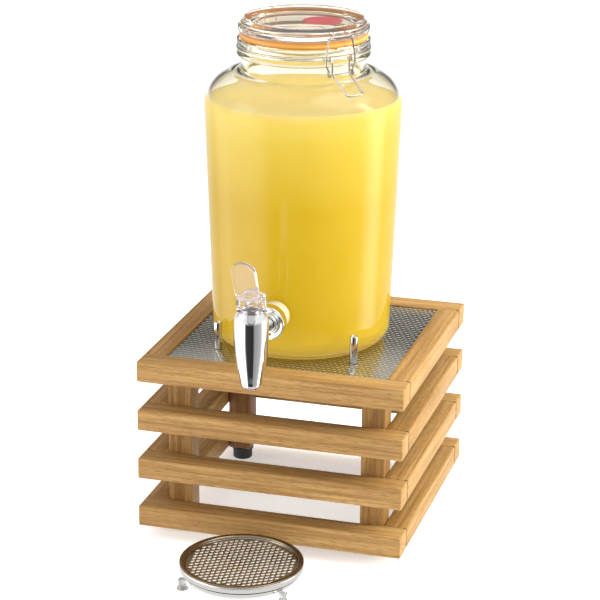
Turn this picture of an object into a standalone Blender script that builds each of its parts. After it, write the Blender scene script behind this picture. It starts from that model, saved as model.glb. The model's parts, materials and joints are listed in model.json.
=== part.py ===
"""Glass beverage dispenser: a clip-top jar with a lever tap on a slatted oak stand, and its drip tray.

Metres, +Z up, -Y is the front. The origin is on the floor under the middle of the whole set. Every
group hangs on an empty: the stand and the tray on the floor, the jar on the stand's plate, the tap and
the clip on the jar. A moving piece hangs on an empty that lies on its joint's axis.
"""

import math

import bmesh
import bpy
from mathutils import Matrix, Vector

MM = 0.001

# Clearances
SEAT_GAP = 0.3 * MM
MERGE = 0.001 * MM
OVERRUN = 3 * MM

# Stand: levels of slats outside four posts, with a sheet plate let into the top
STAND_SIDE = 300 * MM
STAND_HEIGHT = 210 * MM
SLAT_LEVELS = 4
SLAT_HEIGHT = 24 * MM
SLAT_PITCH = 57 * MM
FRONT_SLAT_DEPTH = 28.5 * MM
SIDE_SLAT_DEPTH = 26 * MM
SLAT_EASING = 1.6 * MM
POST_SIDE = 27 * MM
PLATE_RECESS = 1.8 * MM
PLATE_THICKNESS = 1.2 * MM
PLATE_CORNER = 3 * MM
FOOT_DIAMETER = 23 * MM
FOOT_FLANGE_DIAMETER = 26 * MM
FOOT_FLANGE_HEIGHT = 3 * MM
FOOT_EASING = 1 * MM

# Pins that keep the jar on the plate, set out diagonally from its base and centred on it in depth
PIN_DIAMETER = 8 * MM
PIN_HEIGHT = 31.6 * MM
PIN_OFFSET_X = -1.5 * MM
PIN_ROOM_X = 10.4 * MM
PIN_ROOM_Y = 4.74 * MM
PIN_SPIGOT_DIAMETER = 5 * MM
PIN_DIMPLE_DIAMETER = 4 * MM
PIN_DIMPLE_DEPTH = 1 * MM
PIN_EASING = 0.8 * MM

# Jar, with heights from the ring it stands on
JAR_OFFSET_X = -4.5 * MM
JAR_OFFSET_Y = -6 * MM
BASE_RADIUS = 99.2 * MM
SHOULDER_RADIUS = 108.2 * MM
JAR_HEIGHT = 340.7 * MM
NECK_HEIGHT = 35.2 * MM
SHOULDER_RISE = 38 * MM
SHOULDER_START = JAR_HEIGHT - NECK_HEIGHT - SHOULDER_RISE
NECK_RADIUS = 68.3 * MM
WALL = 4.2 * MM
BASE_THICKNESS = 9 * MM
BASE_ROUNDING = 18 * MM
PUNT_RADIUS = 74 * MM
PUNT_DEPTH = 3 * MM
MOUTH_RADIUS = 62 * MM
BEAD_RADIUS = 73 * MM
BEAD_DROP = 19.5 * MM
BEAD_START = JAR_HEIGHT - BEAD_DROP
BEAD_HEIGHT = 6.8 * MM
BEAD_TOP_ANGLE = 60
RIM_BEAD_RADIUS = 72.4 * MM
RIM_BEAD_HEIGHT = 7.6 * MM
GROOVE_RADIUS = 70.6 * MM
RIM_ROUNDING = 2 * MM

# Clip: its plane stands at this angle to the right of the front
CLIP_ANGLE = math.radians(47.5)
WIRE_DIAMETER = 2.2 * MM
COLLAR_WIRE_DIAMETER = 2.5 * MM
EYELET_CLEARANCE = 0.4 * MM
PIVOT_SPREAD = 26 * MM
PIVOT_RADIUS = 75.6 * MM
CRANK_LENGTH = 15 * MM
LEVER_LEG_SPREAD = 21 * MM
HANDLE_SPREAD = 20 * MM
HANDLE_REACH = 29.5 * MM
HANDLE_DROP = 18 * MM
LEVER_PIN_END = 1.4 * MM
LOOP_PIN_SPREAD = 29 * MM
LOOP_BAR_RADIUS = 73.6 * MM
LOOP_BAR_SPREAD = 29 * MM
LOOP_BOW_SPREAD = 35.6 * MM
LOOP_BOW_RADIUS = 75.2 * MM
BEND_RADIUS = 2.6 * MM
LOOP_BEND_RADIUS = 5 * MM

# Lid, its seal and its wire
GASKET_RADIUS = 70 * MM
GASKET_HEIGHT = 7.5 * MM
GASKET_RIB_DEPTH = 1.3 * MM
GASKET_RIB_SHARES = (0.12, 0.40, 0.50, 0.62, 0.90)
LID_RADIUS = 71.7 * MM
LID_RIM_HEIGHT = 7 * MM
LID_RIM_ROUNDING = 2.6 * MM
LID_DISC_RADIUS = 65.6 * MM
LID_DISC_HEIGHT = 8 * MM
LID_DISC_ROUNDING = 3 * MM
PLUG_RADIUS = 57 * MM
PLUG_DEPTH = 8 * MM
PLUG_WALL = 6 * MM
PLUG_HOLLOW = 12 * MM
LID_HINGE_RADIUS = 80 * MM
LID_HINGE_RISE = 5.8 * MM
LID_HINGE_HEIGHT = JAR_HEIGHT + LID_HINGE_RISE
LID_LEG_SPREAD = 10 * MM
LID_PIN_SPREAD = 18 * MM
HOOK_SPREAD = 19 * MM
HOOK_OVER_BAR = 1.2 * MM
HOOK_GAP = 0.5 * MM

# Tap, on a level axis through the front of the jar
TAP_HEIGHT = 56.5 * MM
SHANK_DIAMETER = 15 * MM
SHANK_BORE = 9 * MM
GLASS_HOLE_DIAMETER = 16.4 * MM
OUTER_WASHER_DIAMETER = 33 * MM
OUTER_WASHER_THICKNESS = 18 * MM
INNER_WASHER_DIAMETER = 26 * MM
INNER_WASHER_THICKNESS = 2.5 * MM
NUT_ACROSS_CORNERS = 26 * MM
NUT_THICKNESS = 6 * MM
SHANK_PAST_NUT = 3 * MM
FLANGE_DIAMETER = 38 * MM
FLANGE_LENGTH = 13 * MM
FLANGE_EASING = 2 * MM
FLANGE_LIP = 3 * MM
FLANGE_RECESS = 4 * MM
FLANGE_HUB_DIAMETER = 22 * MM
BARREL_AHEAD = 88 * MM
BARREL_DROP = 53.2 * MM
BARREL_LENGTH = 86.2 * MM
BARREL_RADIUS = 18.4 * MM
OUTLET_DIAMETER = 10.4 * MM
CHAMBER_DIAMETER = 25 * MM
SEAT_HEIGHT = 46 * MM
SEAT_RISE = 5 * MM
BARREL_HEIGHT_SHARES = (0, 0.015, 0.05, 0.11, 0.24, 0.37, 0.5, 0.63, 0.8, 0.9, 0.955, 1)
BARREL_RADIUS_SHARES = (0.36, 0.46, 0.585, 0.65, 0.78, 0.885, 0.965, 1, 1, 0.97, 0.89, 0.745)
KEY_DIAMETER = 8.8 * MM
KEY_DROP = 4.6 * MM
KEY_STAND_OUT = 0.9 * MM
KEY_BEARING = math.radians(17)
BONNET_RADIUS = 15.5 * MM
BONNET_FLOOR = 2.8 * MM
BONNET_PLUG_DEPTH = 7.5 * MM
BONNET_COLLAR_HEIGHT = 16.5 * MM
BONNET_COLLAR_WALL = 3.4 * MM
BONNET_FRONT_WALL = 2.4 * MM
BONNET_EASING = 1.2 * MM
KNUCKLE_RADIUS = 10.8 * MM
LEVER_PIN_HEIGHT = 14.6 * MM
LEVER_PIN_DIAMETER = 3 * MM
LEVER_HUB_DIAMETER = 6.4 * MM
LEVER_SLOT = 6.2 * MM
LEVER_LEAN = math.radians(23)
LEVER_AHEAD = 10 * MM
LEVER_FOOT = 4.5 * MM
LEVER_LENGTH = 55.7 * MM
LEVER_WIDTH = 27 * MM
LEVER_NECK_WIDTH = 22 * MM
LEVER_NECK_END = 18 * MM
LEVER_THICKNESS = 6 * MM
LEVER_EASING = 1.4 * MM
STEM_DIAMETER = 5 * MM
STEM_TOP = 7.5 * MM
SEAT_CUP_DIAMETER = 19 * MM
SEAT_CUP_HEIGHT = 9 * MM

# Drip tray, standing on the floor in front of the stand
TRAY_X = -5.9 * MM
TRAY_AHEAD = 74.1 * MM
TRAY_RADIUS = 66.5 * MM
TRAY_HEIGHT = 27 * MM
TRAY_UNDERSIDE = 11.5 * MM
TRAY_BOTTOM_RADIUS = 61 * MM
TRAY_WALL = 1.4 * MM
TRAY_BAND_HEIGHT = 9 * MM
TRAY_BAND_GROOVE = 1.2 * MM
GRILLE_RADIUS = 60 * MM
GRILLE_THICKNESS = 1.4 * MM
GRILLE_DROP = 3.2 * MM
GRILLE_LEDGE = 3 * MM
SLOT_LENGTH = 10 * MM
SLOT_WIDTH = 2.6 * MM
SLOT_SLANT = math.radians(28)
SLOT_PITCH_X = 18 * MM
SLOT_PITCH_Y = 14 * MM
SLOT_MARGIN = 6 * MM
TRAY_FOOT_CIRCLE = 64.5 * MM
TRAY_FOOT_RADIUS = 6 * MM
TRAY_FOOT_WAIST_SHARE = 0.62
TRAY_FEET = 3

# Fineness of the round shapes
JAR_STEPS = 44
RING_STEPS = 36
SMALL_STEPS = 18
PIN_STEPS = 12
ARC_STEPS = 5
BEND_STEPS = 3
WIRE_RESOLUTION = 1
EYELET_STEPS = 10
HOOP_SIDES = 6
EYELET_SIDES = 6
SHARP_ANGLE = math.radians(32)


def material(name, colour, roughness, metallic=0.0, transmission=0.0):
    """A Principled material, made once for each name."""
    made = bpy.data.materials.get(name)
    if made:
        return made
    made = bpy.data.materials.new(name)
    made.use_nodes = True
    shader = made.node_tree.nodes["Principled BSDF"]
    shader.inputs["Base Color"].default_value = (*colour, 1)
    shader.inputs["Roughness"].default_value = roughness
    shader.inputs["Metallic"].default_value = metallic
    shader.inputs["Transmission Weight"].default_value = transmission
    return made


def oak():
    return material("oak", (0.62, 0.40, 0.20), 0.45)


def steel():
    return material("stainless_steel", (0.62, 0.61, 0.59), 0.28, metallic=1.0)


def chrome():
    return material("chrome", (0.80, 0.80, 0.80), 0.05, metallic=1.0)


def glass():
    return material("clear_glass", (0.95, 0.96, 0.95), 0.02, transmission=1.0)


def clear_plastic():
    return material("clear_plastic", (0.90, 0.88, 0.87), 0.12, transmission=0.9)


def grey_plastic():
    return material("grey_plastic", (0.55, 0.55, 0.55), 0.4)


def black_rubber():
    return material("black_rubber", (0.03, 0.03, 0.03), 0.8)


def pale_rubber():
    return material("pale_rubber", (0.80, 0.78, 0.72), 0.5)


def orange_rubber():
    return material("orange_rubber", (0.85, 0.30, 0.06), 0.55)


def empty(name, parent=None, location=(0, 0, 0), rotation=(0, 0, 0)):
    """A frame that pieces hang on."""
    frame = bpy.data.objects.new(name, None)
    bpy.context.scene.collection.objects.link(frame)
    frame.parent = parent
    frame.location = location
    frame.rotation_euler = rotation
    return frame


def piece(name, shape, finish, parent, location=(0, 0, 0), rotation=(0, 0, 0)):
    """An object from a bmesh, shaded smooth with its edges sharp."""
    mesh = bpy.data.meshes.new(name)
    bmesh.ops.recalc_face_normals(shape, faces=shape.faces[:])
    shape.to_mesh(mesh)
    shape.free()
    mesh.shade_smooth()
    mesh.set_sharp_from_angle(angle=SHARP_ANGLE)
    mesh.materials.append(finish)
    made = bpy.data.objects.new(name, mesh)
    bpy.context.scene.collection.objects.link(made)
    made.parent = parent
    made.location = location
    made.rotation_euler = rotation
    return made


def boolean(target, tool, operation):
    """Cuts or joins a target with a tool object, which stays as a hidden guide."""
    tool.hide_render = True
    tool.display_type = "WIRE"
    modifier = target.modifiers.new(f"{operation.lower()}_{tool.name}", "BOOLEAN")
    modifier.operation = operation
    modifier.solver = "EXACT"
    modifier.object = tool


def box(size, centre=(0, 0, 0), easing=0.0, segments=1):
    """A block with eased edges."""
    shape = bmesh.new()
    bmesh.ops.create_cube(shape, size=1, matrix=Matrix.Translation(centre) @ Matrix.Diagonal((*size, 1)))
    if easing:
        bmesh.ops.bevel(
            shape, geom=shape.edges[:], offset=easing, segments=segments, affect="EDGES", profile=0.5
        )
    return shape


def turned(outline, steps):
    """An outline of (radius, height) points spun about Z. It is closed unless both ends lie on the axis."""
    shape = bmesh.new()
    verts = [shape.verts.new((radius, 0, height)) for radius, height in outline]
    pairs = list(zip(verts, verts[1:]))
    if outline[0][0] > 0 or outline[-1][0] > 0:
        pairs.append((verts[-1], verts[0]))
    edges = [shape.edges.new(pair) for pair in pairs]
    bmesh.ops.spin(
        shape, geom=verts + edges, axis=(0, 0, 1), cent=(0, 0, 0), angle=math.tau, steps=steps, use_merge=True
    )
    bmesh.ops.remove_doubles(shape, verts=shape.verts[:], dist=MERGE)
    return shape


def arc(centre, radii, start, end, steps=ARC_STEPS):
    """Points on an ellipse about a (radius, height) centre, from one angle in degrees to another."""
    points = []
    for step in range(steps + 1):
        angle = math.radians(start + (end - start) * step / steps)
        points.append((centre[0] + radii[0] * math.cos(angle), centre[1] + radii[1] * math.sin(angle)))
    return points


def ring(inner, outer, low, high, steps, easing=0.0):
    """A flat ring about Z, its outer edges eased."""
    outline = [(inner, low), (inner, high)]
    if easing:
        outline += [(outer - easing, high), (outer, high - easing), (outer, low + easing), (outer - easing, low)]
    else:
        outline += [(outer, high), (outer, low)]
    return turned(outline, steps)


def hoop(radius, thickness, steps, sides):
    """A ring of round wire about Z."""
    section = arc((radius, 0), (thickness / 2, thickness / 2), 0, 360, sides)[:-1]
    return turned(section, steps)


def rounded_path(corners, bend, cyclic=False):
    """The corners of a bent wire, with each bend rounded to a radius."""
    path = []
    count = len(corners)
    for index, corner in enumerate(corners):
        if not cyclic and index in (0, count - 1):
            path.append(corner)
            continue
        before = corners[index - 1] - corner
        after = corners[(index + 1) % count] - corner
        half_angle = before.angle(after) / 2
        reach = min(bend / math.tan(half_angle), before.length / 2, after.length / 2)
        radius = reach * math.tan(half_angle)
        inward = (before.normalized() + after.normalized()).normalized()
        centre = corner + inward * (radius / math.sin(half_angle))
        start = corner + before.normalized() * reach - centre
        end = corner + after.normalized() * reach - centre
        sweep = [start.slerp(end, step / BEND_STEPS) for step in range(BEND_STEPS + 1)]
        path += [centre + spoke.normalized() * radius for spoke in sweep]
    return path


def bent_wire(path, diameter, cyclic=False):
    """Round wire along a path, as a bmesh with closed ends."""
    curve = bpy.data.curves.new("wire_path", "CURVE")
    curve.dimensions = "3D"
    curve.bevel_depth = diameter / 2
    curve.bevel_resolution = WIRE_RESOLUTION
    curve.use_fill_caps = True
    spline = curve.splines.new("POLY")
    spline.points.add(len(path) - 1)
    for point, place in zip(spline.points, path):
        point.co = (*place, 1)
    spline.use_cyclic_u = cyclic
    guide = bpy.data.objects.new("wire_path", curve)
    bpy.context.scene.collection.objects.link(guide)
    depsgraph = bpy.context.evaluated_depsgraph_get()
    mesh = bpy.data.meshes.new_from_object(guide.evaluated_get(depsgraph))
    shape = bmesh.new()
    shape.from_mesh(mesh)
    bmesh.ops.remove_doubles(shape, verts=shape.verts[:], dist=MERGE)
    bpy.data.objects.remove(guide)
    bpy.data.curves.remove(curve)
    bpy.data.meshes.remove(mesh)
    return shape


def along_y(shape):
    """Turns a shape made about Z so that its axis points to the front, its height running ahead."""
    bmesh.ops.rotate(shape, verts=shape.verts[:], matrix=Matrix.Rotation(math.pi / 2, 3, "X"))
    return shape


def across(shape):
    """Turns a shape made about Z so that its axis runs from side to side."""
    bmesh.ops.rotate(shape, verts=shape.verts[:], matrix=Matrix.Rotation(math.pi / 2, 3, "Y"))
    return shape


def body_radius(height):
    """The jar's outer radius on its straight flank."""
    share = (height - BASE_ROUNDING) / (SHOULDER_START - BASE_ROUNDING)
    return BASE_RADIUS + (SHOULDER_RADIUS - BASE_RADIUS) * share


def flank_slope():
    """How far the flank leans out for each unit of height."""
    return (SHOULDER_RADIUS - BASE_RADIUS) / (SHOULDER_START - BASE_ROUNDING)


def stand_shift():
    """How far the stand's middle lies behind the middle of the whole set."""
    return (TRAY_AHEAD + TRAY_RADIUS) / 2


def slat(name, size, place, parent):
    return piece(name, box(size, easing=SLAT_EASING), oak(), parent, place)


def build_slats(parent):
    """Four levels of slats: the front and rear run full width, the sides fit between them."""
    middle = (STAND_SIDE - FRONT_SLAT_DEPTH) / 2
    side_middle = (STAND_SIDE - SIDE_SLAT_DEPTH) / 2
    side_length = STAND_SIDE - 2 * FRONT_SLAT_DEPTH - 2 * SEAT_GAP
    for level in range(SLAT_LEVELS):
        height = STAND_HEIGHT - level * SLAT_PITCH - SLAT_HEIGHT / 2
        long_size = (STAND_SIDE, FRONT_SLAT_DEPTH, SLAT_HEIGHT)
        side_size = (SIDE_SLAT_DEPTH, side_length, SLAT_HEIGHT)
        number = level + 1
        slat(f"front_slat_{number}", long_size, (0, -middle, height), parent)
        slat(f"rear_slat_{number}", long_size, (0, middle, height), parent)
        slat(f"left_slat_{number}", side_size, (-side_middle, 0, height), parent)
        slat(f"right_slat_{number}", side_size, (side_middle, 0, height), parent)


def post_bottom():
    """The posts end level with the underside of the lowest slats."""
    return STAND_HEIGHT - (SLAT_LEVELS - 1) * SLAT_PITCH - SLAT_HEIGHT


def corners():
    """The four corners of the stand, by name, as signs along X and Y."""
    return {"front_left": (-1, -1), "front_right": (1, -1), "rear_left": (-1, 1), "rear_right": (1, 1)}


def build_posts(parent):
    """Square posts in the corners, inside the slats, each on a rubber foot."""
    low = post_bottom()
    high = STAND_HEIGHT - PLATE_RECESS - PLATE_THICKNESS - SEAT_GAP
    x = STAND_SIDE / 2 - SIDE_SLAT_DEPTH - SEAT_GAP - POST_SIDE / 2
    y = STAND_SIDE / 2 - FRONT_SLAT_DEPTH - SEAT_GAP - POST_SIDE / 2
    for corner, (side, end) in corners().items():
        post = box((POST_SIDE, POST_SIDE, high - low), easing=SLAT_EASING)
        piece(f"{corner}_post", post, oak(), parent, (side * x, end * y, (low + high) / 2))
        top = low - SEAT_GAP
        neck = top - FOOT_FLANGE_HEIGHT
        foot = turned(
            [
                (0, 0),
                (FOOT_DIAMETER / 2 - FOOT_EASING, 0),
                (FOOT_DIAMETER / 2, FOOT_EASING),
                (FOOT_DIAMETER / 2, neck),
                (FOOT_FLANGE_DIAMETER / 2, neck),
                (FOOT_FLANGE_DIAMETER / 2, top),
                (0, top),
            ],
            PIN_STEPS,
        )
        piece(f"{corner}_foot", foot, black_rubber(), parent, (side * x, end * y, 0))


def plate_top():
    return STAND_HEIGHT - PLATE_RECESS


def build_top_plate(parent):
    """The sheet plate that the jar stands on, let in between the slats just below their tops, with its pins."""
    width = STAND_SIDE - 2 * SIDE_SLAT_DEPTH - 2 * SEAT_GAP
    depth = STAND_SIDE - 2 * FRONT_SLAT_DEPTH - 2 * SEAT_GAP
    sheet = bmesh.new()
    bmesh.ops.create_cube(sheet, size=1, matrix=Matrix.Diagonal((width, depth, PLATE_THICKNESS, 1)))
    uprights = [edge for edge in sheet.edges if abs(edge.verts[0].co.z - edge.verts[1].co.z) > MERGE]
    bmesh.ops.bevel(sheet, geom=uprights, offset=PLATE_CORNER, segments=2, affect="EDGES", profile=0.5)
    height = plate_top() - PLATE_THICKNESS / 2
    plate = piece("top_plate", sheet, steel(), parent, (0, 0, height))
    reach = PLATE_THICKNESS + OVERRUN
    hole_radius = PIN_SPIGOT_DIAMETER / 2 + SEAT_GAP
    pin_x, pin_y = (math.sqrt(0.5) * (BASE_RADIUS + room) for room in (PIN_ROOM_X, PIN_ROOM_Y))
    for corner, (side, end) in corners().items():
        place = (PIN_OFFSET_X + side * pin_x, JAR_OFFSET_Y + end * pin_y, height)
        drill = rod_shape(hole_radius, -reach, reach, PIN_STEPS)
        cutter = piece(f"{corner}_pin_hole", drill, steel(), parent, place)
        boolean(plate, cutter, "DIFFERENCE")
        build_pin(corner, parent, (place[0], place[1], plate_top()))


def rod_shape(radius, low, high, steps):
    """A plain round rod about Z."""
    return turned([(0, low), (radius, low), (radius, high), (0, high)], steps)


def build_pin(corner, parent, place):
    """A locating pin with a dimpled end, its spigot through the plate and flush below it."""
    radius = PIN_DIAMETER / 2
    spigot = PIN_SPIGOT_DIAMETER / 2
    dimple = PIN_DIMPLE_DIAMETER / 2
    outline = [
        (0, -PLATE_THICKNESS),
        (spigot, -PLATE_THICKNESS),
        (spigot, SEAT_GAP),
        (radius, SEAT_GAP),
        (radius, PIN_HEIGHT - PIN_EASING),
        (radius - PIN_EASING, PIN_HEIGHT),
        (dimple, PIN_HEIGHT),
        (0, PIN_HEIGHT - PIN_DIMPLE_DEPTH),
    ]
    piece(f"{corner}_pin", turned(outline, PIN_STEPS), steel(), parent, place)


def jar_outline():
    """The jar's section: up the outside from the punt to the rim, then down the inside."""
    shoulder_width = SHOULDER_RADIUS - NECK_RADIUS
    groove_low = BEAD_START + BEAD_HEIGHT
    groove_high = JAR_HEIGHT - RIM_BEAD_HEIGHT
    bead_middle = BEAD_START + BEAD_HEIGHT / 2
    outside = [(0, PUNT_DEPTH), (PUNT_RADIUS, PUNT_DEPTH), (PUNT_RADIUS + PUNT_DEPTH, 0)]
    outside += arc((BASE_RADIUS - BASE_ROUNDING, BASE_ROUNDING), (BASE_ROUNDING, BASE_ROUNDING), -90, 0)
    outside += arc((NECK_RADIUS, SHOULDER_START), (shoulder_width, SHOULDER_RISE), 0, 90, 8)
    outside += arc((NECK_RADIUS, bead_middle), (BEAD_RADIUS - NECK_RADIUS, BEAD_HEIGHT / 2), -90, BEAD_TOP_ANGLE, 4)
    outside += [(GROOVE_RADIUS, groove_low), (GROOVE_RADIUS, groove_high)]
    outside += [(RIM_BEAD_RADIUS, groove_high + RIM_ROUNDING), (RIM_BEAD_RADIUS, JAR_HEIGHT - RIM_ROUNDING)]
    outside += [(RIM_BEAD_RADIUS - RIM_ROUNDING, JAR_HEIGHT)]
    inner_base = BASE_RADIUS - WALL
    inner_rounding = BASE_ROUNDING - WALL
    inside = [(MOUTH_RADIUS + RIM_ROUNDING, JAR_HEIGHT), (MOUTH_RADIUS, JAR_HEIGHT - RIM_ROUNDING)]
    inside += arc(
        (MOUTH_RADIUS, SHOULDER_START),
        (SHOULDER_RADIUS - WALL - MOUTH_RADIUS, SHOULDER_RISE - WALL),
        90,
        0,
        6,
    )
    inside += arc(
        (inner_base - inner_rounding, BASE_THICKNESS + inner_rounding),
        (inner_rounding, inner_rounding),
        0,
        -90,
        3,
    )
    inside += [(0, BASE_THICKNESS)]
    return outside + inside


def build_jar(jar):
    """The glass jar, bored at the front for the tap's shank."""
    body = piece("glass_jar", turned(jar_outline(), JAR_STEPS), glass(), jar)
    bore = along_y(rod_shape(GLASS_HOLE_DIAMETER / 2, BASE_RADIUS / 2, BASE_RADIUS * 2, SMALL_STEPS))
    cutter = piece("tap_hole", bore, glass(), jar, (0, 0, TAP_HEIGHT))
    boolean(body, cutter, "DIFFERENCE")


def eyelet(diameter):
    """A small ring of wire about Y that a pin of the clip's wire turns in."""
    hole = WIRE_DIAMETER / 2 + EYELET_CLEARANCE
    return along_y(hoop(hole + diameter / 2, diameter, EYELET_STEPS, EYELET_SIDES))


def collar_height():
    """The middle of the groove between the two beads."""
    return (BEAD_START + BEAD_HEIGHT + JAR_HEIGHT - RIM_BEAD_HEIGHT) / 2


def build_collar(clip):
    """The wire round the neck: two eyelets in front for the lever, and two behind on stems for the lid."""
    height = collar_height()
    radius = GROOVE_RADIUS + SEAT_GAP + COLLAR_WIRE_DIAMETER / 2
    collar = piece("neck_collar", hoop(radius, COLLAR_WIRE_DIAMETER, RING_STEPS, HOOP_SIDES), steel(), clip, (0, 0, height))
    eyelet_reach = WIRE_DIAMETER / 2 + EYELET_CLEARANCE + WIRE_DIAMETER / 2
    for name, side in (("left", 1), ("right", -1)):
        y = side * PIVOT_SPREAD / 2
        on_collar = math.sqrt(radius**2 - y**2)
        front = piece(f"{name}_front_eyelet", eyelet(WIRE_DIAMETER), steel(), clip, (PIVOT_RADIUS, y, height))
        boolean(collar, front, "UNION")
        ear = [Vector((on_collar, y, height)), Vector((PIVOT_RADIUS - eyelet_reach, y, height))]
        bridge = piece(f"{name}_front_ear", bent_wire(ear, WIRE_DIAMETER), steel(), clip)
        boolean(collar, bridge, "UNION")
        y = side * LID_PIN_SPREAD / 2
        on_collar = math.sqrt(radius**2 - y**2)
        rear = piece(
            f"{name}_rear_eyelet", eyelet(WIRE_DIAMETER), steel(), clip, (-LID_HINGE_RADIUS, y, LID_HINGE_HEIGHT)
        )
        boolean(collar, rear, "UNION")
        bend = [
            Vector((-on_collar, y, height)),
            Vector((-LID_HINGE_RADIUS, y, height)),
            Vector((-LID_HINGE_RADIUS, y, LID_HINGE_HEIGHT - eyelet_reach)),
        ]
        stem = piece(
            f"{name}_rear_stem", bent_wire(rounded_path(bend, BEND_RADIUS), WIRE_DIAMETER), steel(), clip
        )
        boolean(collar, stem, "UNION")


def gasket_outline():
    """The seal's section, with two ribs round its outside."""
    inner = PLUG_RADIUS + SEAT_GAP
    groove = GASKET_RADIUS - GASKET_RIB_DEPTH
    low, rib_low, dip, rib_high, high = (GASKET_HEIGHT * share for share in GASKET_RIB_SHARES)
    return [
        (inner, 0),
        (inner, GASKET_HEIGHT),
        (groove, GASKET_HEIGHT),
        (GASKET_RADIUS, high),
        (GASKET_RADIUS, rib_high),
        (groove, dip),
        (GASKET_RADIUS, rib_low),
        (GASKET_RADIUS, low),
        (groove, 0),
    ]


def gasket_bottom():
    return JAR_HEIGHT + SEAT_GAP


def lid_bottom():
    """The underside of the lid's rim, on the seal."""
    return gasket_bottom() + GASKET_HEIGHT + SEAT_GAP


def lid_rim_top():
    return lid_bottom() + LID_RIM_HEIGHT


def lid_outline():
    """The lid's section from the hollow under its plug, round the rim, to the raised disc."""
    plug_bottom = gasket_bottom() - PLUG_DEPTH
    low, rim_top = lid_bottom(), lid_rim_top()
    disc_top = rim_top + LID_DISC_HEIGHT
    hollow_top = plug_bottom + PLUG_HOLLOW
    rim_middle = LID_RADIUS - LID_RIM_ROUNDING
    disc_middle = LID_DISC_RADIUS - LID_DISC_ROUNDING
    outline = [(0, hollow_top), (PLUG_RADIUS - 2 * PLUG_WALL, hollow_top)]
    outline += [(PLUG_RADIUS - PLUG_WALL, hollow_top - PLUG_WALL), (PLUG_RADIUS - PLUG_WALL, plug_bottom)]
    outline += [(PLUG_RADIUS - PLUG_WALL / 2, plug_bottom), (PLUG_RADIUS, plug_bottom + PLUG_WALL / 2)]
    outline += [(PLUG_RADIUS, low), (rim_middle, low), (LID_RADIUS, low + LID_RIM_ROUNDING / 2)]
    outline += arc((rim_middle, rim_top - LID_RIM_ROUNDING), (LID_RIM_ROUNDING, LID_RIM_ROUNDING), 0, 90, 3)
    outline += [(LID_DISC_RADIUS, rim_top)]
    outline += arc((disc_middle, disc_top - LID_DISC_ROUNDING), (LID_DISC_ROUNDING, LID_DISC_ROUNDING), 0, 90, 3)
    outline += [(0, disc_top)]
    return outline


def loop_bar_height():
    """The loop's top bar lies just under the lid wire's hooks."""
    return lid_wire_height() - WIRE_DIAMETER - HOOK_GAP


def lid_wire_height():
    """The lid wire lies on the rim, round the foot of the raised disc."""
    return lid_rim_top() + SEAT_GAP + WIRE_DIAMETER / 2


def build_lid(hinge):
    """The glass lid, its seal and its wire, which swing together about the pins behind the neck."""
    centre = (LID_HINGE_RADIUS, 0, -LID_HINGE_HEIGHT)
    piece("lid_glass", turned(lid_outline(), RING_STEPS), glass(), hinge, centre)
    seal_place = (LID_HINGE_RADIUS, 0, gasket_bottom() - LID_HINGE_HEIGHT)
    piece("lid_gasket", turned(gasket_outline(), RING_STEPS), orange_rubber(), hinge, seal_place)
    height = lid_wire_height() - LID_HINGE_HEIGHT
    radius = LID_DISC_RADIUS + SEAT_GAP + WIRE_DIAMETER / 2
    wire = piece("lid_wire", hoop(radius, WIRE_DIAMETER, RING_STEPS, HOOP_SIDES), steel(), hinge, (LID_HINGE_RADIUS, 0, height))
    for name, side in (("left", 1), ("right", -1)):
        y = side * LID_LEG_SPREAD / 2
        on_ring = LID_HINGE_RADIUS - math.sqrt(radius**2 - y**2)
        pin_end = side * (LID_PIN_SPREAD / 2 + WIRE_DIAMETER / 2 + LEVER_PIN_END)
        leg_corners = [
            Vector((on_ring, y, height)),
            Vector((0, y, height)),
            Vector((0, y, 0)),
            Vector((0, pin_end, 0)),
        ]
        leg = piece(
            f"{name}_lid_leg", bent_wire(rounded_path(leg_corners, BEND_RADIUS), WIRE_DIAMETER), steel(), hinge
        )
        boolean(wire, leg, "UNION")
        y = side * HOOK_SPREAD / 2
        start = LID_HINGE_RADIUS + math.sqrt(radius**2 - y**2)
        tip = LID_HINGE_RADIUS + LOOP_BAR_RADIUS + HOOK_OVER_BAR
        hook_corners = [Vector((start, y, height)), Vector((tip, y, height)), Vector((tip, y, height + BEND_RADIUS))]
        hook = piece(
            f"{name}_lid_hook", bent_wire(rounded_path(hook_corners, WIRE_DIAMETER), WIRE_DIAMETER), steel(), hinge
        )
        boolean(wire, hook, "UNION")


def build_clasp_lever(pivot):
    """The bent wire handle: pins through the collar's eyelets, a crank for the loop, and a finger bow."""
    leg = LEVER_LEG_SPREAD / 2
    pin_end = (PIVOT_SPREAD + WIRE_DIAMETER) / 2 + LEVER_PIN_END
    grip = HANDLE_SPREAD / 2
    half = [
        Vector((0, pin_end, 0)),
        Vector((0, leg, 0)),
        Vector((0, leg, -CRANK_LENGTH)),
        Vector((HANDLE_REACH, grip, -CRANK_LENGTH - HANDLE_DROP)),
    ]
    other = [Vector((corner.x, -corner.y, corner.z)) for corner in reversed(half)]
    path = rounded_path(half + other, BEND_RADIUS)
    lever = piece("clasp_lever", bent_wire(path, WIRE_DIAMETER), steel(), pivot)
    loop_end = (LOOP_PIN_SPREAD + WIRE_DIAMETER) / 2 + LEVER_PIN_END / 2
    pin = [Vector((0, -loop_end, -CRANK_LENGTH)), Vector((0, loop_end, -CRANK_LENGTH))]
    crank = piece("crank_pin", bent_wire(pin, WIRE_DIAMETER), steel(), pivot)
    boolean(lever, crank, "UNION")


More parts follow.
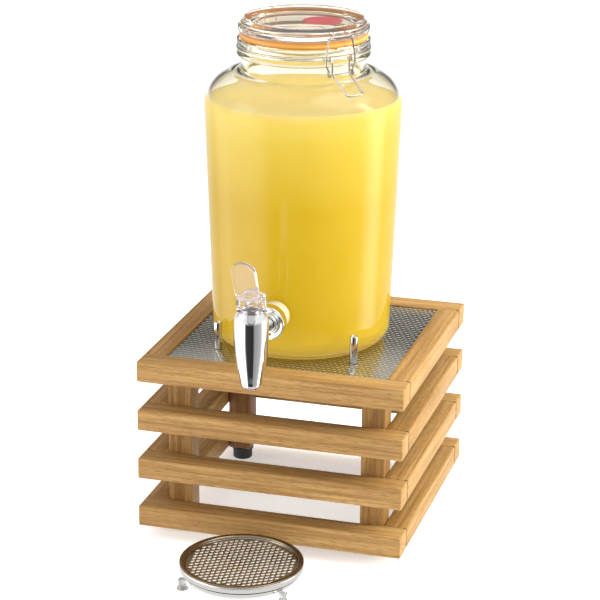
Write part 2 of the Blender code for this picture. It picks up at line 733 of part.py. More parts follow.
def build_clasp_loop(crank):
    """The wire loop that draws the lid down, on the lever's crank. It bows out past the collar's eyelets."""
    reach = WIRE_DIAMETER + EYELET_CLEARANCE
    crank_height = collar_height() - CRANK_LENGTH
    bar_x = LOOP_BAR_RADIUS - PIVOT_RADIUS
    bar_z = loop_bar_height() - crank_height
    bow_x = LOOP_BOW_RADIUS - PIVOT_RADIUS
    foot = LOOP_PIN_SPREAD / 2
    bow = LOOP_BOW_SPREAD / 2
    half = [
        Vector((0, foot, reach)),
        Vector((bow_x, bow, (reach + CRANK_LENGTH) / 2)),
        Vector((bow_x, bow, CRANK_LENGTH + reach)),
        Vector((bar_x, LOOP_BAR_SPREAD / 2, bar_z)),
    ]
    other = [Vector((corner.x, -corner.y, corner.z)) for corner in reversed(half)]
    path = rounded_path(half + other, LOOP_BEND_RADIUS)
    loop = piece("clasp_loop", bent_wire(path, WIRE_DIAMETER), steel(), crank)
    for name, side in (("left", 1), ("right", -1)):
        end = piece(f"{name}_loop_eyelet", eyelet(WIRE_DIAMETER), steel(), crank, (0, side * foot, 0))
        boolean(loop, end, "UNION")


def washer_face():
    """Where the flat outer washer clears the curved, leaning glass, ahead of the glass at the tap's axis."""
    return OUTER_WASHER_DIAMETER / 2 * flank_slope() + SEAT_GAP


def inner_face():
    """Where the flat inner washer clears the hollow side of the glass, behind the same point."""
    radius = INNER_WASHER_DIAMETER / 2
    inner_radius = body_radius(TAP_HEIGHT) - WALL
    sagitta = inner_radius - math.sqrt(inner_radius**2 - radius**2)
    facets = inner_radius * (1 - math.cos(math.pi / JAR_STEPS))
    return -(WALL + sagitta + radius * flank_slope() + facets + SEAT_GAP)


def build_tap_fixing(tap):
    """The hollow shank through the glass, with its washers, lock nut and the flange outside."""
    rubber_hole = SHANK_DIAMETER / 2 + SEAT_GAP
    face = washer_face()
    outer = ring(rubber_hole, OUTER_WASHER_DIAMETER / 2, face, face + OUTER_WASHER_THICKNESS, SMALL_STEPS)
    piece("outer_washer", along_y(outer), pale_rubber(), tap)
    back = inner_face()
    inner = ring(rubber_hole, INNER_WASHER_DIAMETER / 2, back - INNER_WASHER_THICKNESS, back, SMALL_STEPS)
    piece("inner_washer", along_y(inner), pale_rubber(), tap)
    nut_front = back - INNER_WASHER_THICKNESS - SEAT_GAP
    nut_back = nut_front - NUT_THICKNESS
    nut = piece(
        "lock_nut",
        along_y(rod_shape(NUT_ACROSS_CORNERS / 2, nut_back, nut_front, 6)),
        steel(),
        tap,
    )
    nut_bore = rod_shape(rubber_hole, nut_back - OVERRUN, nut_front + OVERRUN, SMALL_STEPS)
    boolean(nut, piece("nut_bore", along_y(nut_bore), steel(), tap), "DIFFERENCE")
    flange_back = face + OUTER_WASHER_THICKNESS + SEAT_GAP
    flange_front = flange_back + FLANGE_LENGTH
    radius = FLANGE_DIAMETER / 2
    outline = [
        (rubber_hole, flange_back),
        (rubber_hole, flange_front),
        (FLANGE_HUB_DIAMETER / 2, flange_front),
        (FLANGE_HUB_DIAMETER / 2, flange_front - FLANGE_RECESS),
        (radius - FLANGE_LIP, flange_front - FLANGE_RECESS),
        (radius - FLANGE_LIP, flange_front),
        (radius - FLANGE_EASING, flange_front),
        (radius, flange_front - FLANGE_EASING),
        (radius, flange_back + FLANGE_EASING),
        (radius - FLANGE_EASING, flange_back),
    ]
    piece("tap_flange", along_y(turned(outline, SMALL_STEPS)), chrome(), tap)
    shank_end = BARREL_AHEAD - CHAMBER_DIAMETER / 2 - SEAT_GAP
    shank_back = nut_back - SHANK_PAST_NUT
    shank = ring(SHANK_BORE / 2, SHANK_DIAMETER / 2, shank_back, shank_end, SMALL_STEPS)
    piece("tap_shank", along_y(shank), chrome(), tap)


def barrel_outline():
    """The barrel's section: the tapered outside, then the chamber, the seat and the outlet."""
    outside = [
        (BARREL_RADIUS * radius_share, BARREL_LENGTH * height_share)
        for radius_share, height_share in zip(BARREL_RADIUS_SHARES, BARREL_HEIGHT_SHARES)
    ]
    inside = [
        (CHAMBER_DIAMETER / 2, BARREL_LENGTH),
        (CHAMBER_DIAMETER / 2, SEAT_HEIGHT + SEAT_RISE),
        (OUTLET_DIAMETER / 2, SEAT_HEIGHT),
        (OUTLET_DIAMETER / 2, 0),
    ]
    return outside + inside


def build_barrel(barrel):
    """The tap's polished barrel, with the shank's port behind and a notch for the bonnet's key in front."""
    body = piece("tap_barrel", turned(barrel_outline(), SMALL_STEPS), chrome(), barrel)
    bearing = (0, 0, KEY_BEARING)
    port = rod_shape(SHANK_DIAMETER / 2 + SEAT_GAP, -BARREL_RADIUS - OVERRUN, 0, SMALL_STEPS)
    boolean(body, piece("shank_port", along_y(port), chrome(), barrel, (0, 0, BARREL_DROP)), "DIFFERENCE")
    key_height = BARREL_LENGTH - KEY_DROP
    notch = key_shape(KEY_DIAMETER / 2 + SEAT_GAP, BARREL_RADIUS / 2, BARREL_RADIUS + OVERRUN, KEY_DROP + OVERRUN)
    boolean(body, piece("key_notch", notch, chrome(), barrel, (0, 0, key_height), bearing), "DIFFERENCE")
    key = key_shape(
        KEY_DIAMETER / 2,
        CHAMBER_DIAMETER / 2 + SEAT_GAP,
        BARREL_RADIUS * BARREL_RADIUS_SHARES[-2] + KEY_STAND_OUT,
        KEY_DROP,
    )
    piece("bonnet_key", key, grey_plastic(), barrel, (0, 0, key_height), bearing)


def key_shape(radius, back, front, rise):
    """A tab seen from the front as a half round under a square, from a back to a front distance."""
    outline = [(radius, rise)] + arc((0, 0), (radius, radius), 0, -180, ARC_STEPS * 2) + [(-radius, rise)]
    shape = bmesh.new()
    face = shape.faces.new([shape.verts.new((x, -back, z)) for x, z in outline])
    grown = bmesh.ops.extrude_face_region(shape, geom=[face])["geom"]
    verts = [item for item in grown if isinstance(item, bmesh.types.BMVert)]
    bmesh.ops.translate(shape, verts=verts, vec=(0, back - front, 0))
    return shape


def build_bonnet(barrel):
    """The clear bonnet that closes the barrel: a plug, a floor and a collar, open in front for the lever."""
    floor = BARREL_LENGTH + SEAT_GAP
    floor_top = floor + BONNET_FLOOR
    collar_top = floor + BONNET_COLLAR_HEIGHT
    plug = CHAMBER_DIAMETER / 2 - SEAT_GAP
    bore = STEM_DIAMETER / 2 + SEAT_GAP
    well = BONNET_RADIUS - BONNET_COLLAR_WALL
    outline = [
        (bore, floor - BONNET_PLUG_DEPTH),
        (bore, floor_top),
        (well, floor_top),
        (well, collar_top),
        (BONNET_RADIUS - BONNET_EASING, collar_top),
        (BONNET_RADIUS, collar_top - BONNET_EASING),
        (BONNET_RADIUS, floor + BONNET_EASING),
        (BONNET_RADIUS - BONNET_EASING, floor),
        (plug, floor),
        (plug, floor - BONNET_PLUG_DEPTH),
    ]
    bonnet = piece("tap_bonnet", turned(outline, SMALL_STEPS), clear_plastic(), barrel)
    front_low = floor_top + BONNET_FRONT_WALL
    cut_height = collar_top + OVERRUN - front_low
    pin_radius = LEVER_PIN_DIAMETER / 2 + SEAT_GAP
    opening = box(
        (2 * BONNET_RADIUS + OVERRUN, BONNET_RADIUS, cut_height),
        (0, -BONNET_RADIUS / 2 - 2 * pin_radius, front_low + cut_height / 2),
    )
    boolean(bonnet, piece("lever_opening", opening, clear_plastic(), barrel), "DIFFERENCE")
    drill = across(rod_shape(pin_radius, -BONNET_RADIUS - OVERRUN, BONNET_RADIUS + OVERRUN, PIN_STEPS))
    pivot = (0, 0, BARREL_LENGTH + LEVER_PIN_HEIGHT)
    boolean(bonnet, piece("bonnet_pin_hole", drill, clear_plastic(), barrel, pivot), "DIFFERENCE")
    rod = across(rod_shape(LEVER_PIN_DIAMETER / 2, -BONNET_RADIUS, BONNET_RADIUS, PIN_STEPS))
    piece("lever_pin", rod, steel(), barrel, pivot)


def paddle():
    """The lever's flat paddle, leaning forward on the knuckle's face: narrow below, wide and round above."""
    half, neck = LEVER_WIDTH / 2, LEVER_NECK_WIDTH / 2
    end = LEVER_LENGTH - half
    outline = [(neck, LEVER_FOOT), (half, LEVER_NECK_END)]
    outline += arc((0, end), (half, half), 0, 180, ARC_STEPS * 2)
    outline += [(-half, LEVER_NECK_END), (-neck, LEVER_FOOT)]
    shape = bmesh.new()
    ahead = -LEVER_AHEAD - LEVER_THICKNESS / 2
    face = shape.faces.new([shape.verts.new((x, ahead, z)) for x, z in outline])
    grown = bmesh.ops.extrude_face_region(shape, geom=[face])["geom"]
    verts = [item for item in grown if isinstance(item, bmesh.types.BMVert)]
    bmesh.ops.translate(shape, verts=verts, vec=(0, LEVER_THICKNESS, 0))
    bmesh.ops.recalc_face_normals(shape, faces=shape.faces[:])
    rims = [edge for edge in shape.edges if abs(edge.verts[0].co.y - edge.verts[1].co.y) < MERGE]
    bmesh.ops.bevel(shape, geom=rims, offset=LEVER_EASING, segments=2, affect="EDGES", profile=0.5)
    bmesh.ops.rotate(shape, verts=shape.verts[:], matrix=Matrix.Rotation(LEVER_LEAN, 3, "X"))
    return shape


def build_tap_lever(pivot):
    """The clear lever: a round knuckle in the bonnet's collar, slotted for the stem, and the paddle."""
    ball = turned(arc((0, 0), (KNUCKLE_RADIUS, KNUCKLE_RADIUS), -90, 90, ARC_STEPS * 2), SMALL_STEPS)
    lever = piece("tap_lever", ball, clear_plastic(), pivot)
    boolean(lever, piece("lever_paddle", paddle(), clear_plastic(), pivot), "UNION")
    slot_height = KNUCKLE_RADIUS + OVERRUN
    slot = box((LEVER_SLOT, 2 * slot_height, slot_height), (0, 0, -slot_height / 2))
    boolean(lever, piece("stem_slot", slot, clear_plastic(), pivot), "DIFFERENCE")
    hub = across(
        rod_shape(LEVER_HUB_DIAMETER / 2, -LEVER_SLOT / 2 - SEAT_GAP, LEVER_SLOT / 2 + SEAT_GAP, PIN_STEPS)
    )
    boolean(lever, piece("lever_hub", hub, clear_plastic(), pivot), "UNION")
    hole = LEVER_PIN_DIAMETER / 2 + SEAT_GAP
    drill = across(rod_shape(hole, -BONNET_RADIUS, BONNET_RADIUS, PIN_STEPS))
    boolean(lever, piece("lever_pin_hole", drill, clear_plastic(), pivot), "DIFFERENCE")


def build_stem(stem):
    """The valve stem and its rubber cup, which lift together off the seat in the barrel."""
    low = SEAT_HEIGHT + SEAT_RISE - SEAT_CUP_HEIGHT / 2
    top = BARREL_LENGTH + STEM_TOP
    cup = SEAT_CUP_DIAMETER / 2
    tip = OUTLET_DIAMETER / 2 - SEAT_GAP
    slope = (CHAMBER_DIAMETER - OUTLET_DIAMETER) / 2 / SEAT_RISE
    seat_clear = SEAT_HEIGHT + SEAT_RISE * (cup - OUTLET_DIAMETER / 2) / (slope * SEAT_RISE) + SEAT_GAP * 2
    rod = STEM_DIAMETER / 2
    piece("tap_stem", rod_shape(rod, low + SEAT_CUP_HEIGHT / 2, top, PIN_STEPS), steel(), stem)
    outline = [
        (0, low),
        (tip, low),
        (tip, SEAT_HEIGHT + SEAT_GAP * 2),
        (cup, seat_clear),
        (cup, seat_clear + SEAT_CUP_HEIGHT / 2),
        (rod + SEAT_GAP, seat_clear + SEAT_CUP_HEIGHT),
        (rod + SEAT_GAP, low + SEAT_CUP_HEIGHT / 2 - SEAT_GAP),
        (0, low + SEAT_CUP_HEIGHT / 2 - SEAT_GAP),
    ]
    piece("seat_cup", turned(outline, SMALL_STEPS), black_rubber(), stem)


def tray_outline():
    """The pan's section: up its banded side, over the rim, down to the grille's ledge and into the well."""
    ledge = TRAY_HEIGHT - GRILLE_DROP - GRILLE_THICKNESS - SEAT_GAP
    band = TRAY_UNDERSIDE + TRAY_BAND_HEIGHT
    well = GRILLE_RADIUS - GRILLE_LEDGE
    seat = GRILLE_RADIUS + SEAT_GAP
    return [
        (0, TRAY_UNDERSIDE),
        (TRAY_BOTTOM_RADIUS - TRAY_WALL, TRAY_UNDERSIDE),
        (TRAY_BOTTOM_RADIUS, TRAY_UNDERSIDE + TRAY_WALL),
        (TRAY_RADIUS - TRAY_BAND_GROOVE, band),
        (TRAY_RADIUS - 2 * TRAY_BAND_GROOVE, band + TRAY_BAND_GROOVE),
        (TRAY_RADIUS, band + 2 * TRAY_BAND_GROOVE),
        (TRAY_RADIUS, TRAY_HEIGHT - TRAY_WALL / 2),
        (TRAY_RADIUS - TRAY_WALL / 2, TRAY_HEIGHT),
        (TRAY_RADIUS - TRAY_WALL, TRAY_HEIGHT),
        (seat, TRAY_HEIGHT - GRILLE_DROP),
        (seat, ledge),
        (well, ledge),
        (well - TRAY_WALL, TRAY_UNDERSIDE + TRAY_WALL),
        (0, TRAY_UNDERSIDE + TRAY_WALL),
    ]


def build_tray(tray):
    """The drip tray's pan on three flared clear feet."""
    piece("tray_pan", turned(tray_outline(), RING_STEPS), steel(), tray)
    top = TRAY_UNDERSIDE - SEAT_GAP
    waist = TRAY_FOOT_RADIUS * TRAY_FOOT_WAIST_SHARE
    foot = [(0, 0), (TRAY_FOOT_RADIUS, 0), (TRAY_FOOT_RADIUS, TRAY_WALL), (waist, top / 2)]
    foot += [(TRAY_FOOT_RADIUS - TRAY_WALL, top), (0, top)]
    for number in range(TRAY_FEET):
        angle = math.tau * number / TRAY_FEET + math.pi / 2
        place = (TRAY_FOOT_CIRCLE * math.cos(angle), TRAY_FOOT_CIRCLE * math.sin(angle), 0)
        piece(f"tray_foot_{number + 1}", turned(foot, PIN_STEPS), clear_plastic(), tray, place)


def slot_places():
    """The slots of the grille: rows set half a pitch over from each other, inside its margin."""
    rows = round(GRILLE_RADIUS / SLOT_PITCH_Y)
    columns = round(GRILLE_RADIUS / SLOT_PITCH_X)
    reach = GRILLE_RADIUS - SLOT_MARGIN - SLOT_LENGTH / 2
    for row in range(-rows, rows + 1):
        shift = SLOT_PITCH_X / 2 if row % 2 else 0
        for column in range(-columns - 1, columns + 1):
            x = column * SLOT_PITCH_X + shift
            y = row * SLOT_PITCH_Y
            if math.hypot(x, y) < reach:
                yield x, y


def build_grille(grille):
    """The lift-out grille, pierced with rows of slanted slots that let drips through."""
    low = TRAY_HEIGHT - GRILLE_DROP - GRILLE_THICKNESS
    sheet = piece(
        "drip_grille", rod_shape(GRILLE_RADIUS, low, low + GRILLE_THICKNESS, RING_STEPS), steel(), grille
    )
    punches = bmesh.new()
    depth = GRILLE_THICKNESS + 2 * OVERRUN
    for x, y in slot_places():
        spot = Matrix.Translation((x, y, low)) @ Matrix.Rotation(SLOT_SLANT, 4, "Z")
        bmesh.ops.create_cube(punches, size=1, matrix=spot @ Matrix.Diagonal((SLOT_WIDTH, SLOT_LENGTH, depth, 1)))
    boolean(sheet, piece("grille_slots", punches, steel(), grille), "DIFFERENCE")


def main():
    for leftover in list(bpy.data.objects):
        bpy.data.objects.remove(leftover)
    floor = empty("floor", location=(0, stand_shift(), 0))
    build_slats(floor)
    build_posts(floor)
    build_top_plate(floor)

    jar = empty("jar", floor, (JAR_OFFSET_X, JAR_OFFSET_Y, plate_top() + SEAT_GAP))
    build_jar(jar)

    clip = empty("clip", jar, rotation=(0, 0, CLIP_ANGLE - math.pi / 2))
    build_collar(clip)
    build_lid(empty("lid_hinge", clip, (-LID_HINGE_RADIUS, 0, LID_HINGE_HEIGHT)))
    pivot = empty("clasp_pivot", clip, (PIVOT_RADIUS, 0, collar_height()))
    build_clasp_lever(pivot)
    build_clasp_loop(empty("crank", pivot, (0, 0, -CRANK_LENGTH)))

    tap = empty("tap", jar, (0, -body_radius(TAP_HEIGHT), TAP_HEIGHT))
    build_tap_fixing(tap)
    barrel = empty("barrel", tap, (0, -BARREL_AHEAD, -BARREL_DROP))
    build_barrel(barrel)
    build_bonnet(barrel)
    build_tap_lever(empty("lever_pivot", barrel, (0, 0, BARREL_LENGTH + LEVER_PIN_HEIGHT)))
    build_stem(empty("stem", barrel))

    tray = empty("tray", floor, (TRAY_X, -STAND_SIDE / 2 - TRAY_AHEAD, 0))
    build_tray(tray)
    build_grille(empty("grille", tray))


main()
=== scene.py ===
import json
import logging
import math
from dataclasses import astuple, dataclass
from enum import Enum
from typing import Iterable, Mapping, Sequence

import bmesh
import bpy
from mathutils import Matrix, Vector


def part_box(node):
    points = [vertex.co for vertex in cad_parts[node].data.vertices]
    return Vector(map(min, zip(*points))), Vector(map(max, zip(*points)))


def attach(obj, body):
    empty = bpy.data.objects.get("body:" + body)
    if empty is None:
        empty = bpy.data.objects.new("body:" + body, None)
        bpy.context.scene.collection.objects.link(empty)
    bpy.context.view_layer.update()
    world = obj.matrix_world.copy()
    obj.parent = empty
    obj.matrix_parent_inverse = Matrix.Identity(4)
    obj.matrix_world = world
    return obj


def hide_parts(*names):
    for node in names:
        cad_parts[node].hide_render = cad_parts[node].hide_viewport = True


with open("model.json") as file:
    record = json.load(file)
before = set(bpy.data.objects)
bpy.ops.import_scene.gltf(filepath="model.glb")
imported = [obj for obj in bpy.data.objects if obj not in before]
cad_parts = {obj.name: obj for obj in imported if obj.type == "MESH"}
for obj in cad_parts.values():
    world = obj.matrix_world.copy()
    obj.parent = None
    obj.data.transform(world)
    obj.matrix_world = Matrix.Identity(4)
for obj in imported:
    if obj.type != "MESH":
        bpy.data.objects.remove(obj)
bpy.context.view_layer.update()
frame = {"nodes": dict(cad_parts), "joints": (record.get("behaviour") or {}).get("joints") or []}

Point = tuple[float, float]
Outline = Sequence[Point]
Colour = tuple[float, float, float]
Stops = tuple[tuple[float, Colour], ...]
Place = tuple[float, float, float]
Shape = bmesh.types.BMesh
Mesh = bpy.types.Mesh
Object = bpy.types.Object
Node = bpy.types.Node
Tree = bpy.types.NodeTree
Socket = bpy.types.NodeSocket

LOG = logging.getLogger("dispenser")
MM = 0.001
MERGE = 0.001 * MM  # points closer than this become one
SEAT_GAP = 0.3 * MM  # the room between pieces that would touch
SIDE_SHARE = 0.45  # how much of an outline's side one rounding may take
BEND_STEPS = 8
WIRE_ROUNDNESS = 4
TONE = "board_tone"
CORNERS = ("front_left", "front_right", "rear_left", "rear_right")
DARK: Colour = (0.0, 0.0, 0.0)
WHITE: Colour = (1.0, 1.0, 1.0)
TO_FRONT = Matrix.Rotation(math.pi / 2, 4, "X")  # turns a shape's height to the front
TO_SIDE = Matrix.Rotation(math.pi / 2, 4, "Y")  # turns a shape's height to the right


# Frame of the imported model


def corners(node: str) -> tuple[Vector, Vector]:
    """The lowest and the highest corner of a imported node's box."""
    low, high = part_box(node)
    return Vector(low), Vector(high)


def middle(node: str) -> Vector:
    """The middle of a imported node's box."""
    low, high = corners(node)
    return (low + high) / 2


def under(node: str, height: float | None = None) -> Vector:
    """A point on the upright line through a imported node's middle, at a height or at the foot of its box."""
    low, _ = corners(node)
    return Vector((*middle(node).xy, low.z if height is None else height))


def joint(name: str) -> dict:
    """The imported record's entry for a joint, with its place and axis."""
    return next(entry for entry in frame["joints"] if entry["name"] == name)


# Outlines, as points of (radius, height)


def arc(centre: Point, radii: Point, start: float, end: float, steps: int = 10) -> list[Point]:
    """Points on an ellipse.

    Args:
        centre: Its middle.
        radii: Its half width and half height.
        start: First angle in degrees, from the outward direction.
        end: Last angle in degrees.
        steps: How many stretches the arc is cut into.

    Returns:
        The points from the first angle to the last.
    """
    angles = [math.radians(start + (end - start) * step / steps) for step in range(steps + 1)]
    return [(centre[0] + radii[0] * math.cos(a), centre[1] + radii[1] * math.sin(a)) for a in angles]


def softened(outline: Outline, radius: float, steps: int = 4) -> list[Point]:
    """An outline with its corners rounded.

    Args:
        outline: The corners.
        radius: The largest rounding, which short sides limit.
        steps: How many stretches each rounding has.

    Returns:
        The rounded outline, with both ends kept.
    """
    made = [outline[0]]
    for before, here, after in zip(outline, outline[1:], outline[2:]):
        corner = Vector(here)
        back, ahead = Vector(before) - corner, Vector(after) - corner
        room = min(back.length, ahead.length) * SIDE_SHARE
        reach = min(radius / math.tan(back.angle(ahead) / 2), room)
        start, end = corner + back.normalized() * reach, corner + ahead.normalized() * reach
        for share in (step / steps for step in range(steps + 1)):
            point = start * (1 - share) ** 2 + corner * 2 * share * (1 - share) + end * share**2
            made.append((point.x, point.y))
    return [*made, outline[-1]]


def smooth_through(points: Outline, per_stretch: int) -> list[Point]:
    """A smooth line through points, by Catmull and Rom's formula.

    Args:
        points: The points to pass through.
        per_stretch: How many pieces each stretch is cut into.

    Returns:
        Points along the line, both ends kept.
    """

    def between(p: float, q: float, r: float, s: float, t: float) -> float:
        """One coordinate at a share t of the way from q to r."""
        square, cube = 2 * p - 5 * q + 4 * r - s, 3 * q - p - 3 * r + s
        return (2 * q + (r - p) * t + square * t**2 + cube * t**3) / 2

    padded = [points[0], *points, points[-1]]
    made: list[Point] = []
    for four in zip(padded, padded[1:], padded[2:], padded[3:]):
        for step in range(per_stretch):
            made.append(tuple(between(*axis, step / per_stretch) for axis in zip(*four)))
    return [*made, tuple(points[-1])]


# Shapes


def as_mesh(shape: Shape, name: str = "part") -> Mesh:
    """Writes a shape to a mesh.

    Args:
        shape: The shape, which is freed.
        name: The mesh's name.

    Returns:
        The mesh.
    """
    mesh = bpy.data.meshes.new(name)
    shape.to_mesh(mesh)
    shape.free()
    return mesh


def as_shape(mesh: Mesh) -> Shape:
    """Reads a shape from a mesh and merges its double points.

    Args:
        mesh: The mesh, which is removed.

    Returns:
        The shape.
    """
    shape = bmesh.new()
    shape.from_mesh(mesh)
    bmesh.ops.remove_doubles(shape, verts=shape.verts[:], dist=MERGE)
    bpy.data.meshes.remove(mesh)
    return shape


def linked(name: str, data: bpy.types.ID | None) -> Object:
    """Puts an object in the scene.

    Args:
        name: The object's name.
        data: Its mesh, curve, light or camera.

    Returns:
        The object.
    """
    made = bpy.data.objects.new(name, data)
    bpy.context.scene.collection.objects.link(made)
    return made


def evaluated(item: Object) -> Mesh:
    """The plain mesh that an object comes to with its modifiers."""
    return bpy.data.meshes.new_from_object(item.evaluated_get(bpy.context.evaluated_depsgraph_get()))


def turned(outline: Outline, steps: int, closed: bool = False) -> Shape:
    """An outline spun about Z.

    Args:
        outline: The outline.
        steps: How many faces go round.
        closed: Whether the outline's last point joins its first.

    Returns:
        The turned shape.
    """
    shape = bmesh.new()
    verts = [shape.verts.new((radius, 0, height)) for radius, height in outline]
    pairs = list(zip(verts, verts[1:])) + ([(verts[-1], verts[0])] if closed else [])
    parts = verts + [shape.edges.new(pair) for pair in pairs]
    bmesh.ops.spin(
        shape, geom=parts, axis=(0, 0, 1), cent=(0, 0, 0), angle=math.tau, steps=steps, use_merge=True
    )
    bmesh.ops.remove_doubles(shape, verts=shape.verts[:], dist=MERGE)
    bmesh.ops.recalc_face_normals(shape, faces=shape.faces[:])
    return shape


def rod(radius: float, low: float, high: float, steps: int = 32, easing: float = 0.0) -> Shape:
    """A round bar about Z.

    Args:
        radius: Its radius.
        low: Where it starts.
        high: Where it ends.
        steps: How many faces go round.
        easing: The rounding of its edges.

    Returns:
        The bar.
    """
    outline = [(0, low), (radius, low), (radius, high), (0, high)]
    return turned(softened(outline, easing) if easing else outline, steps)


def ring(radius: float, girth: float, steps: int, sides: int = 12) -> Shape:
    """A closed ring of round wire about Z, by the radius and the thickness of the wire."""
    return turned(arc((radius, 0), (girth / 2, girth / 2), 0, 360, sides)[:-1], steps, closed=True)


def moved(shape: Shape, *places: Matrix | Vector) -> Shape:
    """Moves a shape.

    Args:
        shape: The shape.
        places: Matrices and offsets, which are taken in turn.

    Returns:
        The same shape.
    """
    for place in places:
        matrix = place if isinstance(place, Matrix) else Matrix.Translation(place)
        bmesh.ops.transform(shape, matrix=matrix, verts=shape.verts[:])
    return shape


def joined(shapes: Iterable[Shape]) -> Shape:
    """Puts several shapes into one, side by side.

    Args:
        shapes: The shapes, which are freed.

    Returns:
        The whole.
    """
    whole = bmesh.new()
    for shape in shapes:
        mesh = as_mesh(shape)
        whole.from_mesh(mesh)
        bpy.data.meshes.remove(mesh)
    return whole


def eased_box(low: Vector, high: Vector, easing: float, segments: int = 3) -> Shape:
    """A block with rounded edges.

    Args:
        low: The lowest corner.
        high: The highest corner.
        easing: The rounding of the edges.
        segments: How many faces each rounding has.

    Returns:
        The block.
    """
    shape = bmesh.new()
    place = Matrix.Translation((low + high) / 2) @ Matrix.Diagonal((*(high - low), 1))
    bmesh.ops.create_cube(shape, size=1, matrix=place)
    bmesh.ops.bevel(shape, geom=shape.edges[:], offset=easing, segments=segments, affect="EDGES", profile=0.5)
    return shape


def slab(outline: Outline, thickness: float, easing: float = 0.0, segments: int = 3) -> Shape:
    """An (x, z) outline given a thickness along Y, half to each side.

    Args:
        outline: The outline.
        thickness: The slab's thickness.
        easing: The rounding of the edges round its front and back.
        segments: How many faces each rounding has.

    Returns:
        The slab.
    """
    shape = bmesh.new()
    face = shape.faces.new([shape.verts.new((x, -thickness / 2, z)) for x, z in outline])
    grown = bmesh.ops.extrude_face_region(shape, geom=[face])["geom"]
    verts = [item for item in grown if isinstance(item, bmesh.types.BMVert)]
    bmesh.ops.translate(shape, verts=verts, vec=(0, thickness, 0))
    bmesh.ops.recalc_face_normals(shape, faces=shape.faces[:])
    if easing:
        rims = [edge for edge in shape.edges if abs(edge.verts[0].co.y - edge.verts[1].co.y) < MERGE]
        bmesh.ops.bevel(shape, geom=rims, offset=easing, segments=segments, affect="EDGES", profile=0.5)
    return shape


def wire(places: Sequence[Vector], bend: float, girth: float) -> Shape:
    """Round wire bent at each place along its way, with closed ends.

    Args:
        places: The corners of its path.
        bend: The bending radius, which short stretches limit.
        girth: The wire's thickness.

    Returns:
        The wire.
    """
    path = [places[0]]
    for before, corner, after in zip(places, places[1:], places[2:]):
        back, ahead = before - corner, after - corner
        half = back.angle(ahead) / 2
        reach = min(bend / math.tan(half), back.length / 2, ahead.length / 2)
        radius = reach * math.tan(half)
        centre = corner + (back.normalized() + ahead.normalized()).normalized() * (radius / math.sin(half))
        start, end = corner + back.normalized() * reach - centre, corner + ahead.normalized() * reach - centre
        for step in range(BEND_STEPS + 1):
            path.append(centre + start.slerp(end, step / BEND_STEPS).normalized() * radius)
    path.append(places[-1])
    curve = bpy.data.curves.new("wire", "CURVE")
    curve.dimensions = "3D"
    curve.bevel_depth, curve.bevel_resolution, curve.use_fill_caps = girth / 2, WIRE_ROUNDNESS, True
    spline = curve.splines.new("POLY")
    spline.points.add(len(path) - 1)
    for point, place in zip(spline.points, path):
        point.co = (*place, 1)
    guide = linked("wire", curve)
    shape = as_shape(evaluated(guide))
    bpy.data.objects.remove(guide)
    bpy.data.curves.remove(curve)
    return shape


class Tool(Enum):
    """What an exact Boolean does with its tool."""

    CUT_AWAY = "DIFFERENCE"
    ADDED = "UNION"


def combined(shape: Shape, tool: Shape, use: Tool = Tool.CUT_AWAY) -> Shape:
    """A shape with a tool cut away from it or added to it.

    Args:
        shape: The shape to change.
        tool: The other shape.
        use: What is done with the tool.

    Returns:
        The new shape.
    """
    meshes = [as_mesh(shape, "base"), as_mesh(tool, "tool")]
    base, cutter = (linked(mesh.name, mesh) for mesh in meshes)
    modifier = base.modifiers.new("combine", "BOOLEAN")
    modifier.operation, modifier.solver, modifier.object = use.value, "EXACT", cutter
    made = as_shape(evaluated(base))
    for item in (base, cutter):
        bpy.data.objects.remove(item)
    for mesh in meshes:
        bpy.data.meshes.remove(mesh)
    return made


# Materials


